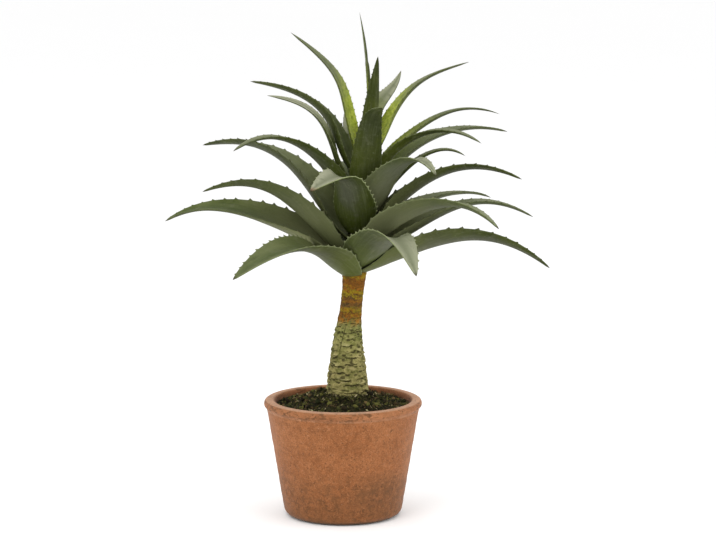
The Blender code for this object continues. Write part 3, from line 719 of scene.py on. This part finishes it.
def bark_paint():
    p = Paint("agave_bark", 0.8, 0.10, (1.0, 0.9, 0.6))
    crack_shade, up = p.read("crack_shade"), p.read("high")
    height = p.part("Z")
    patches = p.noise(0.009, 4, 0.6, 0.8, seed=1.0)
    fine = p.noise(0.0019, 4, 0.68, 0.4, seed=4.0)
    bands = p.noise(0.0065, 3, 0.6, 0.8, where=p.stretch((0.30, 0.30, 1.0)), seed=7.0)
    # khaki below, greener higher up, with buff worn patches
    khaki = p.mix(p.span(patches, 0.34, 0.66), (0.112, 0.110, 0.030), (0.290, 0.250, 0.094))
    khaki = p.mix(p.span(height, 0.185, 0.240, 0.0, 0.55), khaki, (0.175, 0.190, 0.050))
    khaki = p.mix(p.span(bands, 0.52, 0.70, 0.0, 0.55), khaki, (0.100, 0.108, 0.028))
    khaki = p.mix(p.math("MULTIPLY", p.span(bands, 0.30, 0.44, 0.7, 0.0), p.span(height, 0.175, 0.235, 1.0, 0.3)), khaki, (0.380, 0.315, 0.145))
    khaki = p.mix(p.span(fine, 0.53, 0.70, 0.0, 0.75), khaki, (0.390, 0.345, 0.150))
    khaki = p.mix(p.span(fine, 0.30, 0.47, 0.85, 0.0), khaki, (0.052, 0.048, 0.014))
    # rust above, crossed by narrow ochre bands
    ragged = p.math("ADD", height, p.math("MULTIPLY", p.math("SUBTRACT", patches, 0.5), 0.034))
    rust = p.mix(p.span(patches, 0.36, 0.64), (0.140, 0.050, 0.008), (0.260, 0.098, 0.010))
    mottled = p.math("MULTIPLY", p.span(ragged, 0.258, 0.263), p.span(ragged, 0.276, 0.281, 1.0, 0.0))
    rust = p.mix(p.math("MULTIPLY", mottled, p.span(bands, 0.40, 0.58, 0.9, 0.25)), rust, (0.095, 0.055, 0.020))
    ochre = p.math("MULTIPLY", p.span(ragged, 0.277, 0.280), p.span(ragged, 0.287, 0.290, 1.0, 0.0))
    lower = p.math("MULTIPLY", p.span(ragged, 0.256, 0.261), p.span(ragged, 0.263, 0.268, 1.0, 0.0))
    top = p.math("MULTIPLY", p.span(ragged, 0.301, 0.305), p.span(ragged, 0.309, 0.313, 1.0, 0.0))
    ochre = p.math("MAXIMUM", ochre, p.math("MAXIMUM", p.math("MULTIPLY", lower, 0.75), p.math("MULTIPLY", top, 0.75)))
    ochre = p.math("MULTIPLY", ochre, p.span(patches, 0.36, 0.52, 0.35, 1.0))
    ochre = p.math("MAXIMUM", ochre, p.span(bands, 0.56, 0.70, 0.0, 0.7))
    rust = p.mix(p.math("MULTIPLY", ochre, p.span(fine, 0.30, 0.55, 0.35, 0.95)), rust, (0.255, 0.190, 0.010))
    rust = p.mix(p.span(fine, 0.58, 0.74, 0.0, 0.55), rust, (0.350, 0.235, 0.028))
    rust = p.mix(p.span(fine, 0.32, 0.49, 0.80, 0.0), rust, (0.046, 0.021, 0.007))
    colour = p.mix(p.span(ragged, 0.2410, 0.2560), khaki, rust)
    # painted shade in the sunk parts of the bark relief and painted highlight on its raised lips
    colour = p.mix(p.span(up, -0.9, 0.5, 0.45, 0.0), colour, (0.060, 0.055, 0.022))
    colour = p.mix(p.span(up, 0.4, 1.6, 0.0, 0.38), colour, p.mix(p.span(ragged, 0.243, 0.253), (0.430, 0.385, 0.180), (0.350, 0.215, 0.045)))
    # painted shadow: the cracks, splits, nicks and seam darkened almost to black
    colour = p.mix(p.math("MULTIPLY", crack_shade, 0.97), colour, (0.018, 0.014, 0.006))
    # dark and green inside the crown
    colour = p.mix(p.span(ragged, 0.318, 0.328, 0.0, 1.0), colour, (0.030, 0.032, 0.009))
    # darker where it stands in the soil
    colour = p.mix(p.span(ragged, 0.150, 0.163, 0.70, 0.0), colour, (0.034, 0.034, 0.014))
    rise = p.math("ADD", p.math("MULTIPLY", fine, 0.7), p.math("MULTIPLY", patches, 0.3))
    return p.finish(colour, p.bump(rise, 0.0013, 0.8), p.span(fine, 0.3, 0.7, 0.72, 0.95))


def build_trunk():
    around = 220
    heights = np.concatenate([np.arange(92.0, 140.0, 4.0), np.arange(140.0, 330.0, 0.50), np.arange(330.0, 493.0, 4.5)])
    a = np.tile(2 * math.pi * np.arange(around) / around, len(heights))
    z = np.repeat(heights, around)
    relief, crack_shade = bark_surface(a, z)
    quiet = smooth((z - 138) / 8) * smooth((330 - z) / 16)
    relief, crack_shade = relief * quiet, crack_shade * quiet
    r = trunk_radius(z) + relief - 0.25
    z2 = z - 0.45 * np.maximum(relief, 0)
    points = np.stack([trunk_x(z2) + r * np.cos(a), r * np.sin(a), z2], axis=1)
    rows = len(heights)
    faces = ring_faces(rows, around)
    ends = [[trunk_x(heights[0]), 0, heights[0]], [trunk_x(heights[-1]), 0, heights[-1] + 1.5]]
    base = len(points)
    points = np.vstack([points, ends])
    for row, centre in ((0, base), (rows - 1, base + 1)):
        for k in range(around):
            faces.append((row * around + k, row * around + (k + 1) % around, centre))
    thing = make_object("trunk_bark", points * MM, faces, bark_paint(),
                        {"crack_shade": np.append(crack_shade, [0, 0]), "high": np.append(relief, [0, 0])})
    turn_faces_out(thing)
    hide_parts("trunk")
    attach(thing, "root")
    return thing


# ------------------------------------------------------------------ pot
def pot_outline():
    """Outline of the pot's wall in (radius, height), mm: up the outside, over the rim, down the inside."""
    slope = (WALL_TOP_RADIUS - BASE_RADIUS) / RIM_LEDGE_Z
    lean = math.atan(slope)
    turn = math.pi / 2 - lean
    cut = BASE_FILLET * math.tan(turn / 2)
    outline = []
    for k in range(11):
        a = -math.pi / 2 + turn * k / 10
        outline.append((BASE_RADIUS - cut + BASE_FILLET * math.cos(a), BASE_FILLET + BASE_FILLET * math.sin(a)))
    for k in range(1, 52):
        z = outline[10][1] + (RIM_LEDGE_Z - 1.2 - outline[10][1]) * k / 51
        outline.append((BASE_RADIUS + slope * z, z))
    # the bead: a soft swell out of the wall, round its widest point, over the top and down into the mouth
    outline += [(96.2, 135.0), (96.45, 135.8), (96.85, 136.7), (97.4, 137.6), (98.1, 138.5), (98.9, 139.5)]
    for k in range(15):
        a = math.radians(-22 + 122 * k / 14)
        outline.append((RIM_RADIUS - 5.6 + 5.6 * math.cos(a), RIM_WIDEST_Z + 0.4 + 5.6 * math.sin(a)))
    for k in range(9):
        a = math.radians(88 + 84 * k / 8)
        outline.append((RIM_INNER_RADIUS + 3.4 + 3.4 * math.cos(a), POT_HEIGHT - 3.4 + 3.4 * math.sin(a)))
    inner = lambda z: BASE_RADIUS + slope * z - WALL_THICK / math.cos(lean)
    outline += [(RIM_INNER_RADIUS + 0.05, 142.0), (RIM_INNER_RADIUS + 0.1, 139.0)]
    outline += [(86.0, 136.4), (85.7, 133.8)]
    for z in (131.0, 110.0, 88.0, 66.0, 44.0, 26.0):
        outline.append((inner(z), z))
    for k in range(6):
        a = math.radians(-8 - 82 * k / 5)
        outline.append((inner(FLOOR_THICK + 6) - 6 + 6 * math.cos(a), FLOOR_THICK + 6 + 6 * math.sin(a)))
    return np.array(outline)


def pot_inner_radius(z):
    slope = (WALL_TOP_RADIUS - BASE_RADIUS) / RIM_LEDGE_Z
    back = WALL_THICK / math.cos(math.atan(slope))
    straight = BASE_RADIUS + slope * z - back
    if z > 131.0:
        top = BASE_RADIUS + slope * 131.0 - back
        return top + (RIM_INNER_RADIUS + 0.1 - top) * min((z - 131.0) / 8.0, 1.0)
    return straight


def clay_paint():
    """Warm fired clay: soft patches, dense fine mottling, brown specks that crowd towards the foot, brown stains
    on the bead, and a few pale grains."""
    p = Paint("terracotta", 0.82, 0.10, (1.0, 0.85, 0.7))
    p.shader.inputs["Sheen Weight"].default_value = 0.16
    p.shader.inputs["Sheen Roughness"].default_value = 0.45
    p.shader.inputs["Sheen Tint"].default_value = (1.0, 0.86, 0.76, 1.0)
    height = p.part("Z")
    clouds = p.noise(0.040, 4, 0.55, 0.5, seed=1.0)
    patches = p.noise(0.012, 4, 0.6, 0.6, seed=2.0)
    mottle = p.noise(0.0042, 4, 0.65, 0.3, seed=3.0)
    fine = p.noise(0.0013, 3, 0.6, seed=4.0)
    throwing = p.noise(0.0045, 2, 0.5, where=p.stretch((0.05, 0.05, 1.0)), seed=5.0)
    colour = p.mix(p.span(clouds, 0.32, 0.68), (0.262, 0.094, 0.033), (0.318, 0.124, 0.048))
    colour = p.mix(p.span(patches, 0.45, 0.70, 0.0, 0.70), colour, (0.205, 0.074, 0.026))
    colour = p.mix(p.span(patches, 0.24, 0.42, 0.60, 0.0), colour, (0.350, 0.148, 0.066))
    colour = p.mix(p.span(mottle, 0.52, 0.72, 0.0, 0.60), colour, (0.172, 0.064, 0.024))
    colour = p.mix(p.span(mottle, 0.28, 0.44, 0.60, 0.0), colour, (0.380, 0.172, 0.082))
    colour = p.mix(p.span(fine, 0.52, 0.66, 0.0, 0.65), colour, (0.150, 0.058, 0.023))
    colour = p.mix(p.span(fine, 0.34, 0.46, 0.45, 0.0), colour, (0.430, 0.205, 0.105))
    colour = p.mix(p.span(throwing, 0.52, 0.72, 0.0, 0.25), colour, (0.190, 0.070, 0.026))
    # paler, pinker bead with brown stains, a thin painted highlight where it swells out of the wall, and a painted
    # highlight along the crest of the lip
    bead = p.span(height, 0.1360, 0.1410)
    colour = p.mix(p.math("MULTIPLY", bead, p.span(patches, 0.3, 0.6, 0.50, 0.25)), colour, (0.370, 0.165, 0.078))
    stains = p.noise(0.0085, 5, 0.74, 0.8, where=p.stretch((0.55, 0.55, 1.3)), seed=16.0)
    stains = p.math("MULTIPLY", p.span(stains, 0.505, 0.575), p.span(height, 0.1340, 0.1380))
    colour = p.mix(p.math("MULTIPLY", stains, p.span(mottle, 0.3, 0.6, 0.92, 0.50)), colour, (0.080, 0.036, 0.015))
    # painted highlight on the swell where the bead rises out of the wall
    bead_highlight = p.math("MULTIPLY", p.span(height, 0.1345, 0.1362), p.span(height, 0.1368, 0.1392, 1.0, 0.0))
    colour = p.mix(p.math("MULTIPLY", bead_highlight, p.span(patches, 0.35, 0.6, 0.45, 0.15)), colour, (0.450, 0.235, 0.130))
    # painted highlight: a thin pale line along the crest of the lip
    colour = p.mix(p.span(height, 0.1464, 0.1474, 0.0, 0.50), colour, (0.560, 0.330, 0.205))
    # brown specks and blotches, more of them low down
    foot = p.span(height, 0.005, 0.085, 1.0, 0.0)
    blotch = p.noise(0.0066, 5, 0.78, 0.6, seed=18.0)
    blotch = p.math("MULTIPLY", p.span(blotch, 0.48, 0.57), p.span(foot, 0.0, 1.0, 0.22, 1.0, soft=False))
    colour = p.mix(p.math("MULTIPLY", blotch, 0.80), colour, (0.085, 0.043, 0.020))
    dots = p.span(p.cells(0.0031), 0.10, 0.26, 1.0, 0.0)
    dots = p.math("MULTIPLY", dots, p.span(p.noise(0.0085, 4, 0.7, 0.5, seed=21.0), 0.42, 0.58))
    colour = p.mix(p.math("MULTIPLY", dots, p.span(foot, 0.0, 1.0, 0.45, 0.95, soft=False)), colour, (0.085, 0.042, 0.019))
    # a worn, darker place low on the right of the front
    place = p.math("MULTIPLY", p.span(p.part("X"), -0.005, 0.045), p.span(p.part("Y"), -0.06, -0.02, 1.0, 0.0))
    place = p.math("MULTIPLY", place, p.math("MULTIPLY", p.span(height, 0.012, 0.034), p.span(height, 0.046, 0.072, 1.0, 0.0)))
    colour = p.mix(p.math("MULTIPLY", place, p.span(mottle, 0.36, 0.60, 0.20, 0.70)), colour, (0.105, 0.054, 0.026))
    specks = p.span(p.noise(0.0024, 3, 0.7, seed=7.0), p.span(foot, 0, 1, 0.585, 0.500, soft=False), 0.66)
    colour = p.mix(p.math("MULTIPLY", specks, 0.80), colour, (0.082, 0.036, 0.014))
    grit = p.math("MULTIPLY", p.span(p.cells(0.0050), 0.06, 0.15, 1.0, 0.0), p.span(p.noise(0.017, 2, 0.5, seed=14.0), 0.46, 0.60))
    colour = p.mix(p.math("MULTIPLY", grit, p.span(foot, 0.0, 1.0, 0.35, 0.9, soft=False)), colour, (0.075, 0.034, 0.014))
    pale = p.span(p.cells(0.0072), 0.0, 0.095, 1.0, 0.0)
    pale = p.math("MULTIPLY", pale, p.span(p.noise(0.022, 2, 0.5, seed=9.0), 0.50, 0.60))
    colour = p.mix(p.math("MULTIPLY", pale, 0.75), colour, (0.560, 0.400, 0.270))
    # grime at the foot, a dark line where it stands, and painted shade deeper inside the mouth
    grime = p.math("MULTIPLY", foot, p.span(clouds, 0.35, 0.65, 0.20, 0.75))
    colour = p.mix(grime, colour, (0.150, 0.062, 0.024))
    colour = p.mix(p.span(height, 0.0005, 0.0055, 0.85, 0.0), colour, (0.040, 0.026, 0.012))
    inside = p.read("inside")
    # painted shade: the inner wall darkens from the lip down towards the soil
    colour = p.mix(p.math("MULTIPLY", inside, p.span(height, 0.130, 0.146, 0.92, 0.15)), colour, (0.105, 0.042, 0.018))
    rise = p.math("ADD", p.math("MULTIPLY", mottle, 0.45), p.math("MULTIPLY", fine, 0.35))
    rise = p.math("ADD", rise, p.math("MULTIPLY", specks, -0.25))
    normal = p.bump(rise, 0.0009, 0.65)
    return p.finish(colour, normal, p.span(mottle, 0.3, 0.7, 0.74, 0.92))


def build_pot():
    outline = pot_outline()
    around = 224
    rows = len(outline)
    a = np.tile(2 * math.pi * np.arange(around) / around, rows)
    r, z = np.repeat(outline[:, 0], around), np.repeat(outline[:, 1], around)
    outside = np.repeat(np.arange(rows) < 85, around)
    circle = np.stack([r * np.cos(a), r * np.sin(a), z], axis=1)
    # hand-made unevenness: throwing rings, slow swells and a slightly wavy bead, never outside the true outline
    rings = 0.10 * np.sin(z / 2.1 + 0.8 * np.sin(a)) + 0.09 * np.sin(z / 5.3 + 1.3)
    swell = 0.22 * grain(circle, 60.0, 11) + 0.14 * rough(circle, 14.0, 3, 12)
    grain_fine = 0.07 * rough(circle, 3.0, 2, 13)
    fade = smooth(z / 6.0)
    shift = (rings + swell + grain_fine) * fade - 0.42
    r2 = r + np.where(outside, np.minimum(shift, 0.0), np.maximum(-shift * 0.4, 0.0) * 0.5)
    bead = smooth((z - 138) / 6) * outside
    z2 = z - bead * (0.25 + 0.25 * grain(circle, 45.0, 14))
    points = np.stack([r2 * np.cos(a), r2 * np.sin(a), np.maximum(z2, 0)], axis=1)
    faces = ring_faces(rows, around)
    base = len(points)
    points = np.vstack([points, [[0, 0, 0], [0, 0, FLOOR_THICK]]])
    for row, centre in ((0, base), (rows - 1, base + 1)):
        for k in range(around):
            faces.append((row * around + k, row * around + (k + 1) % around, centre))
    stuff = clay_paint()
    inside = np.append((~outside).astype(float), [0, 1])
    pot = make_object("pot_terracotta", points * MM, faces, stuff, {"inside": inside})
    turn_faces_out(pot)
    # drainage holes through the floor
    cutters = []
    for k in range(DRAIN_HOLES):
        angle = 2 * math.pi * (k + 0.52) / DRAIN_HOLES
        work = bmesh.new()
        bmesh.ops.create_cone(work, cap_ends=True, segments=40, radius1=DRAIN_RADIUS * MM, radius2=DRAIN_RADIUS * MM, depth=0.03)
        mesh = bpy.data.meshes.new(f"drain_{k}")
        work.to_mesh(mesh)
        work.free()
        cutter = bpy.data.objects.new(f"drain_{k}", mesh)
        cutter.location = (DRAIN_CIRCLE * math.cos(angle) * MM, DRAIN_CIRCLE * math.sin(angle) * MM, 0.006)
        bpy.context.scene.collection.objects.link(cutter)
        cut = pot.modifiers.new(f"drain_{k}", "BOOLEAN")
        cut.operation, cut.object = "DIFFERENCE", cutter
        cutters.append(cutter)
    bpy.context.view_layer.update()
    solid = bpy.data.meshes.new_from_object(pot.evaluated_get(bpy.context.evaluated_depsgraph_get()))
    pot.modifiers.clear()
    pot.data = solid
    solid.shade_smooth()
    solid.set_sharp_from_angle(angle=math.radians(48))
    for cutter in cutters:
        bpy.data.objects.remove(cutter, do_unlink=True)
    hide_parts("pot")
    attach(pot, "root")
    return pot


# ------------------------------------------------------------------ soil
def soil_height(x, y):
    d = np.hypot(x - 6.0, y)
    edge = np.hypot(x, y) / 84.0
    ripple = 0.8 * np.sin(x * 0.11 + 1.0) * np.cos(y * 0.09 - 0.4) + 0.5 * np.sin(x * 0.05 - y * 0.13)
    return SOIL_EDGE_Z + SOIL_MOUND * np.exp(-((d / SOIL_SPREAD) ** 2)) + ripple * (1 - edge**4)


def soil_lumps(x, y):
    place = np.stack([x, y, 0 * x], axis=1)
    edge = np.hypot(x, y) / 85.0
    lumps = 3.0 * rough(place, 13.0, 4, 21) + 1.9 * np.abs(grain(place, 5.5, 25)) + 0.9 * grain(place, 2.4, 27)
    heap = 6.5 * np.exp(-(((x + 33) / 19) ** 2) - (((y - 20) / 26) ** 2))
    ring = 3.2 * np.exp(-(((np.hypot(x - 6.3, y) - 25.5) / 6.0) ** 2))
    return lumps * (0.55 + 0.45 * smooth((1 - edge) / 0.2)) + heap + ring


def soil_paint():
    p = Paint("soil", 0.93, 0.12, (1.0, 0.95, 0.7))
    patches = p.noise(0.016, 4, 0.6, 0.8, seed=1.0)
    crumbs = p.noise(0.0030, 4, 0.7, 0.4, seed=2.0)
    fine = p.noise(0.0010, 3, 0.7, seed=3.0)
    colour = p.mix(p.span(patches, 0.38, 0.62), (0.010, 0.009, 0.005), (0.028, 0.025, 0.010))
    colour = p.mix(p.span(crumbs, 0.56, 0.72, 0.0, 0.85), colour, (0.042, 0.040, 0.014))
    colour = p.mix(p.span(crumbs, 0.26, 0.42, 0.75, 0.0), colour, (0.018, 0.011, 0.007))
    colour = p.mix(p.span(fine, 0.64, 0.78, 0.0, 0.6), colour, (0.085, 0.078, 0.040))
    rise = p.math("ADD", p.math("MULTIPLY", crumbs, 0.7), p.math("MULTIPLY", fine, 0.3))
    return p.finish(colour, p.bump(rise, 0.0018, 0.8), p.span(crumbs, 0.3, 0.7, 0.72, 0.98))


def build_soil():
    around = 300
    middle = float(trunk_x(150))
    bottom, top = FLOOR_THICK + GAP, SOIL_EDGE_Z
    outer = lambda z: pot_inner_radius(z) - GAP - 0.15
    a = 2 * math.pi * np.arange(around) / around
    rows = []
    for r, z in [(outer(bottom + 6) - 6.5, bottom), (outer(bottom + 6) - 1.2, bottom + 2.2)] + [
            (outer(z), z) for z in (bottom + 7, 40.0, 70.0, 100.0, 124.0, 130.6, 134.0)]:
        rows.append(np.stack([r * np.cos(a), r * np.sin(a), np.full(around, z)], axis=1))
    inner = lambda z: float(trunk_radius(z)) + 0.2
    for share in np.concatenate([[0.004], np.linspace(0.02, 0.985, 62), [1.0]]):
        rim = np.stack([(outer(top) - 0.4) * np.cos(a), (outer(top) - 0.4) * np.sin(a)], axis=1)
        hole = np.stack([middle + inner(152) * np.cos(a), inner(152) * np.sin(a)], axis=1)
        xy = rim + (hole - rim) * share
        z = soil_height(xy[:, 0], xy[:, 1]) + soil_lumps(xy[:, 0], xy[:, 1])
        z = np.maximum(z, 134.6)
        rows.append(np.column_stack([xy, z]))
    for z in (135.0, 112.0, 92.0 - GAP):
        at = float(trunk_x(z))
        rows.append(np.stack([at + inner(z) * np.cos(a), inner(z) * np.sin(a), np.full(around, z)], axis=1))
    faces = ring_faces(len(rows), around)
    points = np.concatenate(rows)
    base = len(points)
    points = np.vstack([points, [[0, 0, bottom], [float(trunk_x(92)), 0, 92.0 - GAP]]])
    for row, centre in ((0, base), (len(rows) - 1, base + 1)):
        for k in range(around):
            faces.append((row * around + k, row * around + (k + 1) % around, centre))
    stuff = soil_paint()
    bed = make_object("soil_bed", points * MM, faces, stuff)
    turn_faces_out(bed)
    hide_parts("soil")
    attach(bed, "root")
    return bed


def litter_paint():
    p = Paint("soil_litter", 0.9, 0.12, (1.0, 0.95, 0.7))
    kind, shade = p.read("kind"), p.read("shade")
    fine = p.noise(0.0012, 3, 0.6, seed=3.0)
    earth = p.mix(shade, (0.008, 0.006, 0.004), (0.150, 0.100, 0.042))
    moss = p.mix(shade, (0.012, 0.015, 0.005), (0.115, 0.110, 0.028))
    bits = p.mix(shade, (0.090, 0.070, 0.030), (0.420, 0.360, 0.200))
    colour = p.mix(p.span(kind, 0.25, 0.35), earth, moss)
    colour = p.mix(p.span(kind, 0.65, 0.75), colour, bits)
    colour = p.mix(p.span(fine, 0.5, 0.8, 0.0, 0.5), colour, p.mix(0.5, colour, (0.10, 0.10, 0.05)))
    colour = p.mix(p.span(fine, 0.2, 0.45, 0.5, 0.0), colour, (0.008, 0.007, 0.004))
    return p.finish(colour, p.bump(fine, 0.0009, 0.7), p.span(fine, 0.3, 0.7, 0.75, 0.97))


def ball():
    work = bmesh.new()
    bmesh.ops.create_icosphere(work, subdivisions=2, radius=1.0)
    points = np.array([v.co[:] for v in work.verts])
    faces = np.array([[v.index for v in f.verts] for f in work.faces])
    work.free()
    return points, faces


def small_ball():
    work = bmesh.new()
    bmesh.ops.create_icosphere(work, subdivisions=1, radius=1.0)
    points = np.array([v.co[:] for v in work.verts])
    faces = np.array([[v.index for v in f.verts] for f in work.faces])
    work.free()
    return points, faces


def build_litter():
    """Crumbs of soil, bits of moss and flakes of bark and dead leaf that lie on the soil."""
    chance = np.random.default_rng(31)
    round_points, round_faces = ball()
    angular_points, angular_faces = small_ball()
    points, faces, kinds, shades, base = [], [], [], [], 0

    def lay(p, f, kind, shade):
        nonlocal base
        points.append(p)
        faces.extend((f + base).tolist())
        kinds.append(np.full(len(p), kind))
        shades.append(np.full(len(p), shade))
        base += len(p)

    def spot(margin):
        while True:
            angle, r = chance.random() * 2 * math.pi, 83.6 * math.sqrt(chance.random())
            x, y = r * math.cos(angle), r * math.sin(angle)
            if r < 84.2 - margin and math.hypot(x - 6.3, y) > 26.5 + margin * 0.6:
                return x, y

    def turned(q):
        m = np.linalg.qr(chance.normal(size=(3, 3)))[0]
        return q @ (m * np.sign(np.linalg.det(m))).T

    for k in range(2300):
        big = k < 620
        size = 0.5 + 1.1 * chance.random() ** 2 if not big else 1.1 + 2.9 * chance.random() ** 2.4
        x, y = spot(size)
        source, f = (round_points, round_faces) if big else (angular_points, angular_faces)
        q = source * (1 + 0.55 * grain(source + 10 * chance.random(3), 0.75, k)[:, None])
        q = turned(q * np.array([1, 0.4 + 0.5 * chance.random(), 0.3 + 0.5 * chance.random()]))
        ground = soil_height(np.array([x]), np.array([y]))[0] + soil_lumps(np.array([x]), np.array([y]))[0]
        q = q * size + np.array([x, y, max(ground, 134.6) + size * (0.15 + 0.3 * chance.random())])
        pick = chance.random()
        kind = 0.0 if pick < 0.52 else (0.5 if pick < 0.955 else 1.0)
        lay(q, f, kind, chance.random() ** 2.2)
    # curled flakes: a closed lens of few faces, bent over its length
    steps = 5
    for k in range(900):
        length, width = 2.2 + 4.6 * chance.random() ** 1.8, 0.5 + 1.2 * chance.random()
        near = chance.random() < 0.4
        if near:
            angle, r = chance.random() * 2 * math.pi, 28.0 + 16 * chance.random() ** 1.5
            x, y = 6.3 + r * math.cos(angle), r * math.sin(angle)
        else:
            x, y = spot(length * 0.6)
        bend = 0.4 + 1.2 * chance.random()
        q, rows = [], steps + 1
        for i in range(rows):
            t = i / steps
            w = width * math.sin(math.pi * (0.06 + 0.88 * t)) ** 0.8
            angle = (t - 0.5) * bend
            cx, cz = math.sin(angle) * length / bend, (1 - math.cos(angle)) * length / bend
            for dy, dz in ((-w, 0.12 * w), (0, -0.16), (w, 0.12 * w), (0, 0.16)):
                q.append((cx, dy, cz + dz))
        q = np.array(q) * (1 + 0.08 * chance.normal(size=(rows * 4, 3)))
        f = [(i * 4 + j, i * 4 + (j + 1) % 4, (i + 1) * 4 + (j + 1) % 4, (i + 1) * 4 + j) for i in range(steps) for j in range(4)]
        f += [(0, 3, 2, 1), (steps * 4, steps * 4 + 1, steps * 4 + 2, steps * 4 + 3)]
        yaw, tilt, flip = chance.random() * 2 * math.pi, chance.normal() * 0.55, chance.normal() * 0.7
        cy, sy, ct, st, cf, sf = math.cos(yaw), math.sin(yaw), math.cos(tilt), math.sin(tilt), math.cos(flip), math.sin(flip)
        q = q @ np.array([[1, 0, 0], [0, cf, -sf], [0, sf, cf]]).T @ np.array([[ct, 0, st], [0, 1, 0], [-st, 0, ct]]).T @ np.array([[cy, -sy, 0], [sy, cy, 0], [0, 0, 1]]).T
        ground = soil_height(np.array([x]), np.array([y]))[0] + soil_lumps(np.array([x]), np.array([y]))[0]
        q = q + np.array([x, y, ground + 0.9 + 1.0 * chance.random()])
        too_far = np.hypot(q[:, 0], q[:, 1]).max() > 84.8
        if too_far:
            continue
        kind = 0.5 if chance.random() < 0.84 else 1.0
        lay(q, np.array(f), kind, chance.random() ** 2.0)
    thing = make_object("soil_litter", np.concatenate(points) * MM, faces, litter_paint(),
                        {"kind": np.concatenate(kinds), "shade": np.concatenate(shades)})
    turn_faces_out(thing)
    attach(thing, "root")
    return thing


# ------------------------------------------------------------------ floor, light and camera
def build_stage():
    p = Paint("studio_floor", 0.9, 0.1)
    soft = p.noise(0.8, 2, 0.5, seed=1.0)
    floor_paint = p.finish(p.mix(soft, (0.955, 0.955, 0.955), (0.965, 0.965, 0.965)))
    work = bmesh.new()
    bmesh.ops.create_grid(work, x_segments=8, y_segments=8, size=60.0)
    mesh = bpy.data.meshes.new("studio_floor")
    work.to_mesh(mesh)
    work.free()
    floor = bpy.data.objects.new("studio_floor", mesh)
    floor.location = (0, 0, -0.0004)
    bpy.context.scene.collection.objects.link(floor)
    mesh.materials.append(floor_paint)
    world = bpy.data.worlds.new("studio")
    world.use_nodes = True
    world.node_tree.nodes["Background"].inputs["Color"].default_value = (1.0, 1.0, 1.0, 1.0)
    world.node_tree.nodes["Background"].inputs["Strength"].default_value = 1.03
    bpy.context.scene.world = world

    def softbox(name, where, aim, size, power):
        lamp = bpy.data.lights.new(name, "AREA")
        lamp.shape, lamp.size, lamp.size_y, lamp.energy = "RECTANGLE", size[0], size[1], power
        thing = bpy.data.objects.new(name, lamp)
        thing.location = where
        thing.rotation_euler = (Vector(aim) - Vector(where)).to_track_quat("-Z", "Y").to_euler()
        bpy.context.scene.collection.objects.link(thing)

    softbox("key_softbox", (-1.2, -2.1, 2.2), (0, 0, 0.35), (1.6, 1.6), 25)
    softbox("fill_softbox", (1.9, -1.8, 1.5), (0, 0, 0.3), (1.6, 1.6), 12)
    softbox("front_softbox", (0.1, -3.3, 1.8), (0, 0, 0.35), (1.4, 1.0), 6)
    softbox("left_softbox", (-2.4, -0.5, 0.9), (0, 0, 0.2), (1.2, 1.6), 9)
    softbox("right_softbox", (2.4, -0.5, 0.9), (0, 0, 0.2), (1.2, 1.6), 11)
    softbox("top_softbox", (0.2, 0.4, 2.6), (0, 0, 0.4), (2.0, 2.0), 8)


def build_camera():
    data = bpy.data.cameras.new("camera")
    data.lens = 150.0
    data.sensor_width = 36.0
    data.clip_start, data.clip_end = 0.1, 200.0
    camera = bpy.data.objects.new("camera", data)
    camera.location = (0.0189, -3.6876, 0.885)
    camera.rotation_euler = (math.radians(90 - 8.84), 0, 0)
    bpy.context.scene.collection.objects.link(camera)
    bpy.context.scene.camera = camera


build_camera()
build_stage()
build_pot()
build_soil()
build_litter()
build_trunk()
build_leaves()
bpy.context.scene.view_settings.view_transform = "Standard"
